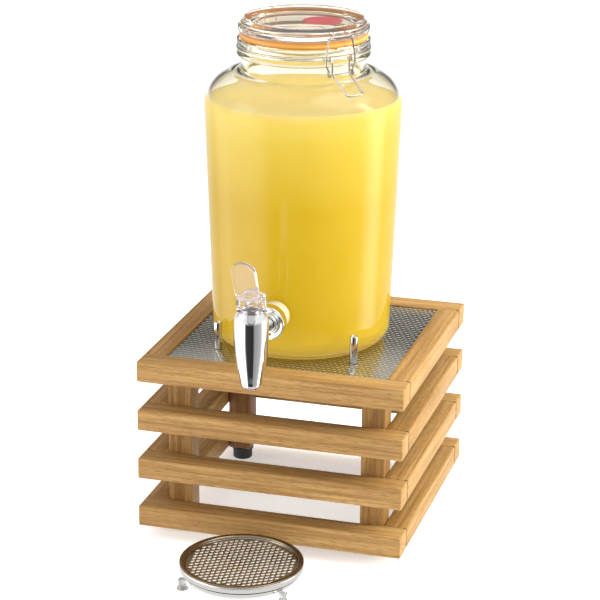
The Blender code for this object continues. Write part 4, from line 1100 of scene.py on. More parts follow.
@dataclass
class Jar:
    """The glass jar and the drink in it, with heights from the ring that the jar stands on."""

    base_radius: float = 99.2 * MM
    shoulder_radius: float = 108.2 * MM
    shoulder_start: float = 267.5 * MM
    shoulder_rise: float = 38 * MM
    neck_radius: float = 68.3 * MM
    neck_turn: float = 5 * MM
    neck_curve: Outline = ((0.72, 0), (0.16, 0.5), (0, 1.1))  # out and up, in neck turns
    flank_end: float = 72  # degrees round the shoulder
    height: float = 340.7 * MM
    wall: float = 4.2 * MM
    base_thickness: float = 9 * MM
    base_rounding: float = 18 * MM
    punt_radius: float = 74 * MM
    punt_depth: float = 3 * MM
    punt_edge: float = 6 * MM
    easing: float = 2 * MM
    mouth_radius: float = 62 * MM
    bead_radius: float = 73 * MM
    bead_start: float = 321.2 * MM
    bead_height: float = 6.8 * MM
    rim_bead_radius: float = 72.4 * MM
    rim_bead_height: float = 7.6 * MM
    groove_radius: float = 70.6 * MM
    groove_start: Outline = ((0.6 * MM, -0.2 * MM), (0, 0.6 * MM))  # out and up from the bead's top
    groove_end: float = 0.4 * MM
    rim_slope: float = 0.6 * MM
    rim_land: float = 3 * MM
    rim_rounding: float = 2 * MM
    mouth_depth: float = 8 * MM
    mouth_land: float = 4 * MM
    fill_height: float = 277.5 * MM
    wetting: float = 0.5 * MM
    meniscus: Outline = ((0, 0), (0.8 * MM, 0.9 * MM), (2.5 * MM, 1.6 * MM))  # in and down from the edge
    hollow: float = 1.8 * MM
    steps: int = 160
    hole_radius: float = 8.2 * MM
    hole_start: float = 60 * MM
    hole_end: float = 140 * MM
    tap_height: float = 56.5 * MM

    def __post_init__(self) -> None:
        """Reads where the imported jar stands."""
        self.foot = under("glass_jar")

    def outside(self) -> list[Point]:
        """The glass's outer side.

        Returns:
            The outline, from under the middle up to the rim.
        """
        edge, punt, rounding = self.punt_radius, self.punt_depth, self.base_rounding
        start = self.base_radius - rounding
        base = [(edge - self.punt_edge, punt), (edge, punt), (edge + punt, 0), (start, 0)]
        points = [(0, punt), *softened(base, self.easing)]
        points += arc((start, rounding), (rounding, rounding), -90, 0, 14)[1:]
        points += self.shoulder(self.neck_radius, 0)
        bead = (self.bead_radius - self.neck_radius, self.bead_height / 2)
        points += arc((self.neck_radius, self.bead_start + self.bead_height / 2), bead, -90, 60, 14)
        low, high = self.bead_start + self.bead_height, self.height - self.rim_bead_height
        groove, rim = self.groove_radius, self.rim_bead_radius
        top = [(groove + out, low + up) for out, up in self.groove_start]
        top += [(groove, high - self.groove_end), (rim, high + self.rim_slope)]
        top += [(rim, self.height), (rim - self.rim_land, self.height)]
        return points + softened(top, self.rim_rounding, 5)

    def shoulder(self, neck: float, inset: float) -> list[Point]:
        """The shoulder and the hollow curve from it up into the neck.

        Args:
            neck: The neck's radius.
            inset: How far the line lies inside the jar's outer side.

        Returns:
            The points from the flank up to the neck.
        """
        rise, turn = self.shoulder_rise - inset, self.neck_turn
        radii = (self.shoulder_radius - inset - neck, rise)
        flank = arc((neck, self.shoulder_start), radii, 0, self.flank_end, 24)
        height = self.shoulder_start + rise
        through = [(neck + turn * out, height + turn * up) for out, up in self.neck_curve]
        return flank[:-1] + smooth_through([flank[-1], *through], 6)

    def inside(self, gap: float = 0.0) -> list[Point]:
        """The glass's inner side, from the middle of the floor up to the rim.

        Args:
            gap: How far the line is moved into the glass.

        Returns:
            The outline.
        """
        inset, floor, mouth = self.wall - gap, self.base_thickness - gap, self.mouth_radius + gap
        rounding = self.base_rounding - inset
        start = self.base_radius - inset - rounding
        points = [(0, floor), *arc((start, floor + rounding), (rounding, rounding), -90, 0, 12)]
        top, land = self.height, mouth + self.mouth_land
        rim = [(mouth, top - self.mouth_depth), (mouth, top), (land, top)]
        return points + self.shoulder(mouth, inset) + softened(rim, self.easing)

    def glass(self) -> None:
        """Makes the glass, bored for the tap."""
        body = turned(self.outside() + self.inside()[::-1], self.steps)
        drill = rod(self.hole_radius, self.hole_start, self.hole_end, 48)
        shape = combined(body, moved(drill, TO_FRONT, Vector((0, 0, self.tap_height))))
        add_piece("jar_glass", moved(shape, self.foot), GLASS, "jar", ["glass_jar"])

    def drink(self) -> None:
        """Makes the drink, which wets the glass and climbs a little where it meets it."""
        fill, mouth, inset = self.fill_height, self.mouth_radius + self.wetting, self.wall - self.wetting
        share = (fill - self.shoulder_start) / (self.shoulder_rise - inset)
        edge = mouth + (self.shoulder_radius - inset - mouth) * math.sqrt(1 - share**2)
        outline = [point for point in self.inside(self.wetting) if point[1] < fill]
        outline += [(edge - back, fill - down) for back, down in self.meniscus]
        shape = moved(turned([*outline, (0, fill - self.hollow)], self.steps), self.foot)
        add_piece("drink", shape, JUICE, "jar")

    def build(self) -> None:
        """Makes the jar and its drink."""
        self.glass()
        self.drink()


# Clip and lid


@dataclass
class Clip:
    """The bent wires of the clip: the neck collar, the clasp lever and the loop on its crank.

    Its places are told by their distance out from the jar's middle in the clip's plane, their distance to the
    side of that plane and their height above the jar's foot. The plane and the pivots are read from the
    packed joints.
    """

    girth: float = 2.2 * MM
    collar_girth: float = 2.5 * MM
    clearance: float = 0.4 * MM
    pivot_spread: float = 26 * MM
    leg_spread: float = 21 * MM
    handle_spread: float = 20 * MM
    handle_reach: float = 29.5 * MM
    handle_drop: float = 18 * MM
    loop_spread: float = 29 * MM
    loop_gap: float = 0.5 * MM
    bow_spread: float = 35.6 * MM
    bow_reach: float = 75.2 * MM
    bar_reach: float = 73.6 * MM
    pin_end: float = 1.4 * MM
    lid_pin_spread: float = 18 * MM
    bend: float = 2.6 * MM
    lever_bend: float = 3.64 * MM
    loop_bend: float = 7 * MM

    def __post_init__(self) -> None:
        """Reads the clip's plane and pivots."""
        self.foot = Jar().foot
        self.side = -Vector(joint("clasp_pivot")["axis"])
        self.out = Vector((self.side.y, -self.side.x, 0))
        self.edge = self.girth + self.clearance
        self.pivot, self.collar_height = self.local("clasp_pivot")
        _, self.crank_height = self.local("loop_pivot")
        self.hinge, self.hinge_height = self.local("lid_hinge")

    def local(self, name: str) -> Point:
        """A joint's distance out from the jar's middle and its height above the jar's foot."""
        offset = Vector(joint(name)["pos_m"]) - self.foot
        return offset.dot(self.out), offset.z

    def at(self, reach: float, side: float, height: float) -> Vector:
        """The point at a place in the clip."""
        return self.foot + self.out * reach + self.side * side + Vector((0, 0, height))

    def run(self, places: Sequence[Place], bend: float = 0.0) -> Shape:
        """Wire through places in the clip, bent to a radius."""
        return wire([self.at(*place) for place in places], bend, self.girth)

    def hoop(self, half: Sequence[Place], bend: float) -> Shape:
        """Wire through places in the clip and back through their mirror images, bent to a radius."""
        return self.run([*half, *((reach, -side, height) for reach, side, height in reversed(half))], bend)

    def curl(self, reach: float, side: float, height: float) -> Shape:
        """An eyelet in the clip: wire curled once round a pin that lies to the side.

        Args:
            reach: Its distance out from the jar's middle.
            side: Its distance to the side.
            height: Its height above the jar's foot.

        Returns:
            The eyelet.
        """
        turn = Matrix((self.out, self.side, Vector((0, 0, 1)))).transposed().to_4x4()
        place = Matrix.Translation(self.at(reach, side, height)) @ turn
        return moved(ring(self.edge, self.girth, 32), TO_FRONT, place)

    def collar(self) -> None:
        """Makes the wire round the neck, with its ears for the clasp and its stems for the lid's pins."""
        radius, level = Jar.groove_radius + SEAT_GAP + self.collar_girth / 2, self.collar_height
        shapes = [moved(ring(radius, self.collar_girth, 144, 14), self.at(0, 0, level))]
        for sign in (-1, 1):
            y = sign * self.pivot_spread / 2
            shapes.append(self.curl(self.pivot, y, level))
            ear = [(math.sqrt(radius**2 - y**2), y, level), (self.pivot - self.edge, y, level)]
            shapes.append(self.run(ear))
            y = sign * self.lid_pin_spread / 2
            stem = [(-math.sqrt(radius**2 - y**2), y, level), (self.hinge, y, level)]
            shapes.append(self.run([*stem, (self.hinge, y, self.hinge_height - self.edge)], self.bend))
            shapes.append(self.curl(self.hinge, y, self.hinge_height))
        add_piece("collar_wire", joined(shapes), WIRE_PAINTED_REFLECTION, "jar", ["neck_collar"])

    def lever(self) -> None:
        """Makes the clasp lever with its finger bow and the pin on its crank."""
        pin = (self.pivot_spread + self.girth) / 2 + self.pin_end
        end = (self.loop_spread + self.girth) / 2 + self.pin_end / 2
        pivot, low, leg = self.pivot, self.crank_height, self.leg_spread / 2
        half = [(pivot, pin, self.collar_height), (pivot, leg, self.collar_height), (pivot, leg, low)]
        half.append((pivot + self.handle_reach, self.handle_spread / 2, low - self.handle_drop))
        shapes = [self.hoop(half, self.lever_bend), self.run([(pivot, -end, low), (pivot, end, low)])]
        add_piece("lever_wire", joined(shapes), WIRE, "clasp_lever", ["clasp_lever"])

    def loop(self) -> None:
        """Makes the loop that draws the lid down, bowed past the collar's eyelets."""
        edge, low, side = self.edge, self.crank_height, self.loop_spread / 2
        crank = self.collar_height - low
        bow, bar = self.bow_spread / 2, Lid().wire_height - self.girth - self.loop_gap
        half = [(self.pivot, side, low + edge), (self.bow_reach, bow, low + (edge + crank) / 2)]
        half += [(self.bow_reach, bow, low + crank + edge), (self.bar_reach, side, bar)]
        shapes = [self.hoop(half, self.loop_bend)]
        shapes += [self.curl(self.pivot, sign * side, low) for sign in (-1, 1)]
        add_piece("loop_wire", joined(shapes), WIRE, "clasp_loop", ["clasp_loop"])

    def build(self) -> None:
        """Makes the clip's three wires."""
        self.collar()
        self.lever()
        self.loop()


@dataclass
class Lid:
    """The glass lid with its plug, ribbed seal, wire and a plain round label under the disc."""

    gasket_radius: float = 70 * MM
    gasket_height: float = 7.5 * MM
    rib_depth: float = 1.3 * MM
    rib_share: float = 0.22
    rib_land: float = 1 * MM
    radius: float = 71.7 * MM
    rim_height: float = 7 * MM
    rim_rounding: float = 2.6 * MM
    disc_radius: float = 65.6 * MM
    disc_height: float = 8 * MM
    plug_radius: float = 57 * MM
    plug_depth: float = 8 * MM
    plug_wall: float = 6 * MM
    plug_hollow: float = 12 * MM
    leg_spread: float = 10 * MM
    hook_spread: float = 19 * MM
    hook_over_bar: float = 1.2 * MM
    label_radius: float = 21.5 * MM
    label_depth: float = 0.6 * MM
    label_thickness: float = 0.3 * MM
    label_offset: Vector = Vector((26 * MM, -18 * MM, 0))
    steps: int = 144

    def __post_init__(self) -> None:
        """Stacks the lid's heights up from the jar's rim."""
        self.foot = Jar().foot
        self.seal_bottom = Jar.height + SEAT_GAP
        self.rim_bottom = self.seal_bottom + self.gasket_height + SEAT_GAP
        self.rim_top = self.rim_bottom + self.rim_height
        self.top = self.rim_top + self.disc_height
        self.wire_height = self.rim_top + SEAT_GAP + Clip.girth / 2

    def glass(self) -> None:
        """Makes the lid's glass."""
        bottom, hole = self.seal_bottom - self.plug_depth, self.plug_radius - self.plug_wall
        hollow = bottom + self.plug_hollow
        outline = [(0, hollow), (hole, hollow), (hole, bottom), (self.plug_radius, bottom)]
        outline += [(self.plug_radius, self.rim_bottom), (self.radius, self.rim_bottom)]
        outline += [(self.radius, self.rim_top), (self.disc_radius, self.rim_top)]
        outline += [(self.disc_radius, self.top), (0, self.top)]
        shape = moved(turned(softened(outline, self.rim_rounding, 8), self.steps), self.foot)
        add_piece("lid_pressed_glass", shape, LID_GLASS, "lid", ["lid_glass"])

    def seal(self) -> None:
        """Makes the ribbed seal."""
        inner, low = self.plug_radius + SEAT_GAP, self.seal_bottom
        high = low + self.gasket_height
        groove, rib = self.gasket_radius - self.rib_depth, self.gasket_height * self.rib_share
        outline = [(inner, low), (inner, high), (groove - self.rib_land, high)]
        outline += arc((groove, high - rib), (self.rib_depth, rib), 90, -60, 8)
        outline += arc((groove, low + rib), (self.rib_depth, rib), 60, -90, 8)
        shape = moved(turned(outline, self.steps, closed=True), self.foot)
        add_piece("lid_seal", shape, SEAL, "lid", ["lid_gasket"])

    def wires(self) -> None:
        """Makes the wire round the disc, its hinge legs and its hooks."""
        clip, level = Clip(), self.wire_height
        radius = self.disc_radius + SEAT_GAP + clip.girth / 2
        shapes = [moved(ring(radius, clip.girth, self.steps), clip.at(0, 0, level))]
        pin, hinge = clip.lid_pin_spread / 2 + clip.girth / 2 + clip.pin_end, clip.hinge
        tip = clip.bar_reach + self.hook_over_bar
        for sign in (-1, 1):
            y = sign * self.leg_spread / 2
            leg = [(-math.sqrt(radius**2 - y**2), y, level), (hinge, y, level), (hinge, y, clip.hinge_height)]
            shapes.append(clip.run([*leg, (hinge, sign * pin, clip.hinge_height)], clip.bend))
            y = sign * self.hook_spread / 2
            hook = [(math.sqrt(radius**2 - y**2), y, level), (tip, y, level), (tip, y, level + clip.bend)]
            shapes.append(clip.run(hook, clip.girth))
        add_piece("lid_ring_wire", joined(shapes), WIRE_PAINTED_REFLECTION, "lid", ["lid_wire"])

    def label(self) -> None:
        """Makes the plain red label that shows under the disc's top."""
        height = self.top - self.label_depth
        shape = rod(self.label_radius, height - self.label_thickness, height, 64)
        add_piece("lid_label", moved(shape, self.foot + self.label_offset), LABEL, "lid")

    def build(self) -> None:
        """Makes the whole lid."""
        self.glass()
        self.seal()
        self.wires()
        self.label()


# Tap


@dataclass
class Tap:
    """The tap through the jar's front: its fixing, barrel, bonnet and lever."""

    flange_lip: float = 3 * MM
    flange_recess: float = 4 * MM
    flange_hub: float = 11 * MM
    flange_easing: float = 1.8 * MM
    washer_easing: float = 1 * MM
    bore_share: float = 0.6
    outlet: float = 5.2 * MM
    chamber: float = 12.5 * MM
    seat_height: float = 46 * MM
    seat_rise: float = 5 * MM
    barrel_radius: float = 18.4 * MM
    barrel_heights: tuple[float, ...] = (0.015, 0.05, 0.11, 0.24, 0.37, 0.5, 0.63, 0.8, 0.9, 0.955)
    barrel_radii: tuple[float, ...] = (0.46, 0.585, 0.65, 0.78, 0.885, 0.965, 1, 1, 0.97, 0.89)
    barrel_bottom: float = 0.36
    barrel_top: float = 0.745
    key_radius: float = 4.4 * MM
    key_drop: float = 4.6 * MM
    key_stand_out: float = 0.9 * MM
    key_bearing: float = math.radians(17)
    key_easing: float = 0.8 * MM
    bonnet_floor: float = 2.8 * MM
    bonnet_wall: float = 3.4 * MM
    bonnet_front: float = 2.4 * MM
    bonnet_easing: float = 1.2 * MM
    opening_easing: float = 1 * MM
    opening_share: float = 1.2
    overrun_share: float = 1.3  # how far a cut goes past what it cuts
    pin_easing: float = 0.4 * MM
    knuckle: float = 10.8 * MM
    lean: float = math.radians(23)
    lever_ahead: float = 10 * MM
    lever_foot: float = 4.5 * MM
    lever_length: float = 55.7 * MM
    lever_width: float = 27 * MM
    neck_width: float = 22 * MM
    neck_end: float = 18 * MM
    shoulder_share: float = 0.97
    thickness: float = 6 * MM
    paddle_easing: float = 2.2 * MM
    slot: float = 6.2 * MM
    slot_easing: float = 0.3 * MM
    hub_radius: float = 3.2 * MM
    steps: int = 96

    def __post_init__(self) -> None:
        """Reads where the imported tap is."""
        self.axis_height = middle("tap_shank").z
        self.centre = under("tap_barrel", 0)
        self.pivot = Vector(joint("tap_lever_pivot")["pos_m"])
        self.pin_radius = (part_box("lever_pin")[1][2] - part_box("lever_pin")[0][2]) / 2

    def along(self, node: str) -> tuple[float, float, float]:
        """A ring on the tap's level axis: its radius, and where it starts and ends ahead of Y zero."""
        low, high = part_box(node)
        return (high[2] - low[2]) / 2, -high[1], -low[1]

    def on_axis(self, name: str, outline: Outline, finish: Finish, node: str) -> None:
        """Makes a piece of the jar by turning an outline about the tap's level axis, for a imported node."""
        shape = moved(turned(outline, self.steps), TO_FRONT, Vector((self.centre.x, 0, self.axis_height)))
        add_piece(name, shape, finish, "jar", [node])

    def fixing(self) -> None:
        """Makes the washer, flange and shank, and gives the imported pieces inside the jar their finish."""
        shank, start, end = self.along("tap_shank")
        hole = shank + SEAT_GAP
        radius, back, front = self.along("outer_washer")
        outline = [(hole, back), (hole, front), (radius, front), (radius, back), (hole, back)]
        self.on_axis("washer_outer", softened(outline, self.washer_easing), PALE, "outer_washer")
        radius, back, front = self.along("tap_flange")
        hub, lip, recess = self.flange_hub, radius - self.flange_lip, front - self.flange_recess
        outline = [(hole, back), (hole, front), (hub, front), (hub, recess), (lip, recess), (lip, front)]
        outline += [(radius, front), (radius, back), (hole, back)]
        self.on_axis("flange_chrome", softened(outline, self.flange_easing, 6), CHROME, "tap_flange")
        bore = shank * self.bore_share
        outline = [(bore, start), (bore, end), (shank, end), (shank, start), (bore, start)]
        self.on_axis("shank_chrome", outline, CHROME, "tap_shank")
        inner = {"inner_washer": PALE, "lock_nut": POLISHED, "tap_stem": POLISHED, "seat_cup": BLACK}
        for node, finish in inner.items():
            materials = frame["nodes"][node].data.materials
            materials.clear()
            materials.append(finish.build())

    def barrel(self) -> None:
        """Makes the polished barrel with its port and notch, and the key in the notch."""
        low, high = corners("tap_barrel")
        length, radius, chamber = high.z - low.z, self.barrel_radius, self.chamber
        shares = zip(self.barrel_radii, self.barrel_heights)
        outside = [(radius * across, length * up) for across, up in shares]
        outline = [(self.outlet, 0), (radius * self.barrel_bottom, 0), *smooth_through(outside, 6)]
        outline += [(radius * self.barrel_top, length), (chamber, length)]
        outline += [(chamber, self.seat_height + self.seat_rise), (self.outlet, self.seat_height)]
        port = rod(self.along("tap_shank")[0] + SEAT_GAP, -radius * 2, 0, 48)
        moved(port, TO_FRONT, Vector((0, 0, self.axis_height - low.z)))
        shape = combined(turned(outline, self.steps, closed=True), port)
        bearing, height = Matrix.Rotation(self.key_bearing, 4, "Z"), length - self.key_drop
        notch = slab(self.tab(self.key_radius + SEAT_GAP, self.key_drop + radius), radius)
        shape = combined(shape, moved(notch, Vector((0, -radius, height)), bearing))
        place = under("tap_barrel")
        add_piece("barrel_chrome", moved(shape, place), CHROME, "jar", ["tap_barrel"], 50)
        back, front = chamber + SEAT_GAP, radius * self.barrel_radii[-1] + self.key_stand_out
        key = slab(self.tab(self.key_radius, self.key_drop), front - back, self.key_easing)
        key = moved(key, Vector((0, -(front + back) / 2, height)), bearing, place)
        add_piece("key_tab", key, GREY, "jar", ["bonnet_key"])

    def tab(self, radius: float, rise: float) -> list[Point]:
        """A tab seen from the front: a half round under a square."""
        return [(radius, rise), *arc((0, 0), (radius, radius), 0, -180, 20), (-radius, rise)]

    def bonnet(self) -> None:
        """Makes the clear bonnet and the lever's pin."""
        (low, high), (stem_low, stem_high) = corners("tap_bonnet"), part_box("tap_stem")
        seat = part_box("tap_barrel")[1][2] + SEAT_GAP
        radius, plug, floor = (high.x - low.x) / 2, self.chamber - SEAT_GAP, seat + self.bonnet_floor
        bore, well = (stem_high[0] - stem_low[0]) / 2 + SEAT_GAP, radius - self.bonnet_wall
        outline = [(bore, low.z), (bore, floor), (well, floor), (well, high.z), (radius, high.z)]
        outline += [(radius, seat), (plug, seat), (plug, low.z), (bore, low.z)]
        shape = turned(softened(outline, self.bonnet_easing), self.steps)
        reach = self.pin_radius + SEAT_GAP
        side, front = radius * self.opening_share, radius * self.overrun_share
        near = Vector((-side, -front, floor + self.bonnet_front))
        far = Vector((side, -2 * reach, high.z + radius))
        shape = combined(shape, eased_box(near, far, self.opening_easing))
        drill = moved(rod(reach, -radius * 2, radius * 2), TO_SIDE, Vector((0, 0, self.pivot.z)))
        add_piece("bonnet_clear", moved(combined(shape, drill), self.centre), CLEAR, "jar", ["tap_bonnet"])
        pin = moved(rod(self.pin_radius, -radius, radius, easing=self.pin_easing), TO_SIDE, self.pivot)
        add_piece("lever_rod", pin, POLISHED, "jar", ["lever_pin"])

    def lever(self) -> None:
        """Makes the clear lever: its knuckle, slotted for the stem, and the leaning paddle."""
        half = self.lever_width / 2
        end = self.lever_length - half
        flank = [(self.neck_width / 2, self.lever_foot)]
        flank += [(half * self.shoulder_share, self.neck_end), (half, end)]
        flank = smooth_through(flank, 8)
        tip = arc((0, end), (half, half), 0, 180, 32)[1:-1]
        outline = flank + tip + [(-x, z) for x, z in reversed(flank)]
        paddle = slab(outline, self.thickness, self.paddle_easing, 5)
        moved(paddle, Vector((0, -self.lever_ahead, 0)), Matrix.Rotation(self.lean, 4, "X"))
        ball = turned(arc((0, 0), (self.knuckle, self.knuckle), -90, 90, 32), self.steps)
        shape = combined(ball, paddle, Tool.ADDED)
        reach, cheek = self.knuckle * self.overrun_share, self.slot / 2
        slot = eased_box(Vector((-cheek, -reach, -reach)), Vector((cheek, reach, 0)), self.slot_easing)
        shape = combined(shape, slot)
        side = cheek + SEAT_GAP
        shape = combined(shape, moved(rod(self.hub_radius, -side, side, 40), TO_SIDE), Tool.ADDED)
        shape = combined(shape, moved(rod(self.pin_radius + SEAT_GAP, -reach, reach), TO_SIDE))
        add_piece("lever_clear", moved(shape, self.pivot), CLEAR, "tap_lever", ["tap_lever"])

    def build(self) -> None:
        """Makes the whole tap."""
        self.fixing()
        self.barrel()
        self.bonnet()
        self.lever()


# Drip tray


@dataclass
class Tray:
    """The drip tray: its polished pan, textured grille and clear feet."""

    underside: float = 11.5 * MM
    bottom_radius: float = 61 * MM
    wall: float = 1.4 * MM
    band_height: float = 5.9 * MM
    band_groove: float = 1.3 * MM
    groove_low_share: float = 0.6
    groove_high_share: float = 1.2
    ledge: float = 3 * MM
    easing: float = 1.2 * MM
    grille_easing: float = 0.4 * MM
    foot_waist_share: float = 0.62
    foot_edge: float = 1 * MM
    foot_neck_inset: float = 1.4 * MM
    foot_top_inset: float = 1.8 * MM
    grille_turn: float = math.radians(32)
    dash_width: float = 3.6 * MM
    dash_rise: float = 0.6 * MM
    rim_rise: float = 3.2 * MM
    rim_depth: float = 1.2 * MM
    rim_curve: Outline = ((0.03, 0.5), (0.22, 0.86), (0.56, 1), (0.88, 0.9), (0.99, 0.72))
    feet: int = 3
    steps: int = 144

    def __post_init__(self) -> None:
        """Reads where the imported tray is."""
        self.centre = under("tray_pan", 0)
        low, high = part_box("tray_pan")
        self.radius, self.height = (high[0] - low[0]) / 2, high[2]
        low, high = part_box("drip_grille")
        self.grille_radius, self.grille_low, self.grille_high = (high[0] - low[0]) / 2, low[2], high[2]

    def pan(self) -> None:
        """Makes the pan with its side banded by painted shade in the groove, and its rounded rim."""
        radius, groove, well = self.radius, self.band_groove, self.grille_radius - self.ledge
        band, floor = self.underside + self.band_height, self.underside + self.wall
        seat, ledge = self.grille_radius + SEAT_GAP, self.grille_low - SEAT_GAP
        rim_low, rim_side = self.height - self.rim_rise, self.height - self.rim_depth
        outline = [(0, self.underside), (self.bottom_radius, self.underside), (radius - groove, band)]
        outline += [(radius - 2 * groove, band + groove * self.groove_low_share)]
        outline += [(radius, band + groove * self.groove_high_share), (radius, rim_side)]
        outline += [(seat, rim_low), (seat, ledge), (well, ledge), (well - self.wall, floor), (0, floor)]
        shape = moved(turned(softened(outline, self.easing, 5), self.steps), self.centre)
        add_piece("pan_steel", shape, PAN, "drip_tray", ["tray_pan"])
        bead = [(seat, rim_low + SEAT_GAP)]
        for across, up in self.rim_curve:
            bead.append((seat + (radius - seat) * across, rim_low + self.rim_rise * up))
        bead.append((radius - SEAT_GAP, rim_side + SEAT_GAP))
        shape = moved(turned(smooth_through(bead, 5), self.steps, closed=True), self.centre)
        add_piece("pan_rim", shape, BRONZE, "drip_tray")

    def grille(self) -> None:
        """Makes the grille's disc and the raised dashes on it."""
        disc = rod(self.grille_radius, self.grille_low, self.grille_high, self.steps, self.grille_easing)
        add_piece("grille_disc", moved(disc, self.centre), GROUND, "drip_grille", ["drip_grille"])
        dashes = Dashes(self.dash_width, self.dash_rise)
        place = Matrix.Translation(self.centre + Vector((0, 0, self.grille_high)))
        place @= Matrix.Rotation(self.grille_turn, 4, "Z")
        size, reach = (2 * self.grille_radius, 2 * self.grille_radius), self.grille_radius - dashes.length / 2
        dashes.lay("grille_dashes", size, BRIGHT_DASH, "drip_grille", place, 3, reach)

    def stubs(self) -> None:
        """Makes the three flared clear feet."""
        for node in (f"tray_foot_{number + 1}" for number in range(self.feet)):
            low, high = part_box(node)
            radius, top, edge = (high[0] - low[0]) / 2, high[2], self.foot_edge
            flank = [(radius, edge), (radius * self.foot_waist_share, top / 2)]
            flank.append((radius - self.foot_neck_inset, top - edge))
            outline = [(0, 0), (radius, 0), *smooth_through(flank, 8)]
            outline += [(radius - self.foot_top_inset, top), (0, top)]
            shape = moved(turned(outline, 48), under(node, 0))
            add_piece(f"{node}_clear", shape, CLEAR_FOOT, "drip_tray", [node])

    def build(self) -> None:
        """Makes the whole tray."""
        self.pan()
        self.grille()
        self.stubs()


# Studio


@dataclass(frozen=True)
class Lamp:
    """A soft rectangular light: where it hangs, its width and height, its watts and its colour."""

    name: str
    place: Place
    size: Point
    power: float
    mirrored: bool = True
    colour: Colour = WHITE

    def hang(self, aim: Vector) -> None:
        """Hangs the light.

        Args:
            aim: The point that it faces.
        """
        data = bpy.data.lights.new(self.name, "AREA")
        data.shape, data.energy, data.color = "RECTANGLE", self.power, self.colour
        data.size, data.size_y = self.size
        lamp, place = linked(self.name, data), Vector(self.place)
        lamp.location = place
        lamp.rotation_euler = (aim - place).to_track_quat("-Z", "Y").to_euler()
        lamp.visible_glossy = self.mirrored


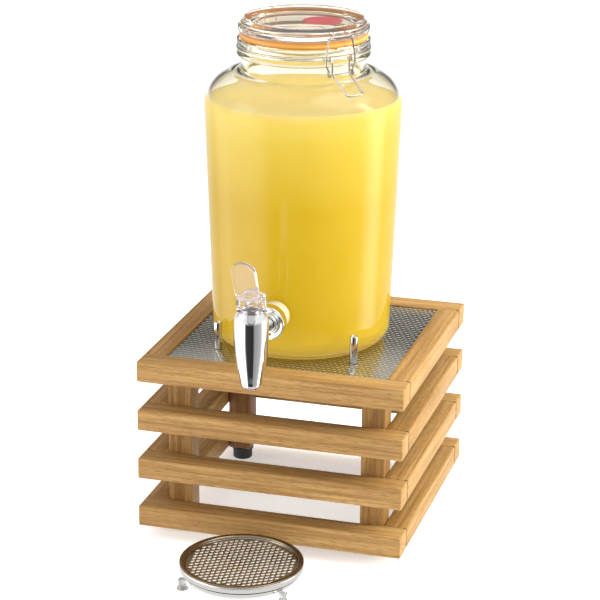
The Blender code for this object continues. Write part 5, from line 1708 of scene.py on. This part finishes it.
@dataclass
class Studio:
    """A plain pale floor, soft lights and the camera where the photograph was taken from.

    The camera's angles are in radians. Its distance, its slides and the drop of its target below the stand's
    top are in stand widths. The walls' brightness is by bearing in degrees from the camera, and each band is
    by height, with 0.5 at the horizon.
    """

    azimuth: float = 0.2811
    elevation: float = 0.3291
    roll: float = 0.0082
    distance: float = 8.4499
    target_drop: float = 0.3
    slide_right: float = -0.0259
    slide_up: float = 0.4010
    lens: float = 132.87
    sensor: float = 36.0
    farthest: float = 50.0
    stand_side: float = 0.3
    floor_size: float = 30.0
    table_radius: float = 0.135
    table_drop: float = 1 * MM
    table_steps: int = 48
    walls: tuple[Point, ...] = ((-46, 1.0), (-33, 0.05), (14, 0.03), (22, 0.34), (60, 0.5), (85, 1.0))
    far_walls: tuple[Point, ...] = ((-150, 0.2), (-110, 1.0), (110, 1.0), (150, 0.2))
    far_band: Stops = ((0.5, DARK), (0.54, WHITE), (0.7, WHITE), (0.8, DARK))
    dark_band: Stops = ((0.08, WHITE), (0.15, DARK), (0.43, DARK), (0.535, WHITE))
    glint: tuple[Point, ...] = (
        (-128, 0.0), (-104, 0.62), (-58, 0.62), (-40, 0.0), (74, 0.0), (91, 1.0), (100, 1.0), (114, 0.0),
    )
    glint_gain: float = 3.6
    aim: Vector = Vector((0, 0, 0.25))
    lamps: tuple[Lamp, ...] = (
        Lamp("left_softbox", (-1.6, -0.9, 0.9), (1.0, 1.4), 9),
        Lamp("right_softbox", (1.5, 0.4, 0.9), (0.35, 1.5), 40, False, (0.94, 1.0, 0.96)),
        Lamp("top_softbox", (0.9, 0.1, 1.8), (1.4, 1.4), 16),
        Lamp("front_fill", (0.7, -2.4, 1.1), (2.4, 1.8), 10, False),
    )

    def camera(self) -> None:
        """Places the camera from its bearing to the stand."""
        a, e, roll = self.azimuth, self.elevation, self.roll
        back = Vector((math.sin(a) * math.cos(e), -math.cos(a) * math.cos(e), math.sin(e)))
        right = Vector((math.cos(a), math.sin(a), 0))
        up = back.cross(right)
        rolled = right * math.cos(roll) + up * math.sin(roll), up * math.cos(roll) - right * math.sin(roll)
        low, high = corners("front_slat_1")[0], corners("rear_slat_1")[1]
        drop = self.target_drop * self.stand_side
        target = Vector(((low.x + high.x) / 2, (low.y + high.y) / 2, high.z - drop))
        offset = back * self.distance + right * self.slide_right + up * self.slide_up
        data = bpy.data.cameras.new("view")
        data.lens, data.sensor_width, data.clip_end = self.lens, self.sensor, self.farthest
        camera = linked("view", data)
        turn = Matrix((*rolled, back)).transposed().to_4x4()
        camera.matrix_world = Matrix.Translation(target + offset * self.stand_side) @ turn
        bpy.context.scene.camera = camera

    def staged(self, name: str, shape: Shape, finish: Finish, hidden_from: Sequence[str]) -> None:
        """Adds a part of the stage.

        Args:
            name: Its name.
            shape: Its shape.
            finish: Its finish.
            hidden_from: The kinds of ray that don't see it.
        """
        mesh = as_mesh(shape, name)
        mesh.materials.append(finish.build())
        made = linked(name, mesh)
        for kind in hidden_from:
            setattr(made, f"visible_{kind}", False)

    def ground(self) -> None:
        """Makes the pale floor, and the white table near the dispenser that only polished surfaces see."""
        floor = bmesh.new()
        bmesh.ops.create_grid(floor, x_segments=1, y_segments=1, size=self.floor_size / 2)
        self.staged("floor", floor, Glow("floor_white", (0.93, 0.93, 0.93), 0.8), ("glossy",))
        centre, radius = middle("tray_pan"), self.table_radius
        edge = arc((centre.x, centre.y), (radius, radius), 0, 360, self.table_steps)[:-1]
        table = bmesh.new()
        table.faces.new([table.verts.new((x, y, -self.table_drop)) for x, y in edge])
        finish = Glow("table_white", (0.92, 0.92, 0.92), 0.8, sheen=0.0, strength=1.0, lit=False)
        self.staged("table", table, finish, ("camera", "diffuse", "transmission", "shadow"))

    def surroundings(self) -> None:
        """Makes the white studio walls, with the dark gap that the camera stands in."""
        world = bpy.data.worlds.new("studio")
        world.use_nodes = True
        nodes = Nodes(world.node_tree)
        turn = (0, 0, math.pi / 2 - self.azimuth)
        ahead = nodes.add("ShaderNodeTexCoord").outputs["Generated"]
        faced = nodes.add("ShaderNodeMapping", {"Vector": ahead, "Rotation": turn})
        axes = nodes.axes(faced.outputs["Vector"])
        bearing = nodes.math("ARCTAN2", axes["Y"], axes["X"])
        share = nodes.math("ADD", nodes.math("DIVIDE", bearing, math.tau), 0.5)
        height = nodes.math("MULTIPLY", nodes.math("ADD", axes["Z"], 1.0), 0.5)

        def around(walls: tuple[Point, ...]) -> Socket:
            """The walls' brightness by bearing."""
            return nodes.ramp(share, tuple((0.5 + degrees / 360, (level,) * 3) for degrees, level in walls))

        outside = nodes.ramp(height, self.dark_band)
        near = nodes.mix(outside, around(self.walls), WHITE)
        far = nodes.mix(nodes.ramp(height, self.far_band), WHITE, around(self.far_walls))
        shine = nodes.mix(outside, around(self.glint), DARK)
        sky = world.node_tree.nodes["Background"]
        nodes.feed(nodes.mix(1.0, near, far, "MULTIPLY"), sky, "Color")
        nodes.feed(nodes.math("ADD", nodes.math("MULTIPLY", shine, self.glint_gain), 1.0), sky, "Strength")
        bpy.context.scene.world = world
        bpy.context.scene.view_settings.view_transform = "Standard"

    def build(self) -> None:
        """Makes the studio."""
        self.ground()
        for lamp in self.lamps:
            lamp.hang(self.aim)
        self.surroundings()
        self.camera()


def main() -> None:
    """Builds every assembly in order."""
    logging.basicConfig(level=logging.INFO, format="%(message)s")
    for assembly in (Stand, Jar, Clip, Lid, Tap, Tray, Studio):
        assembly().build()


if __name__ == "__main__":
    main()
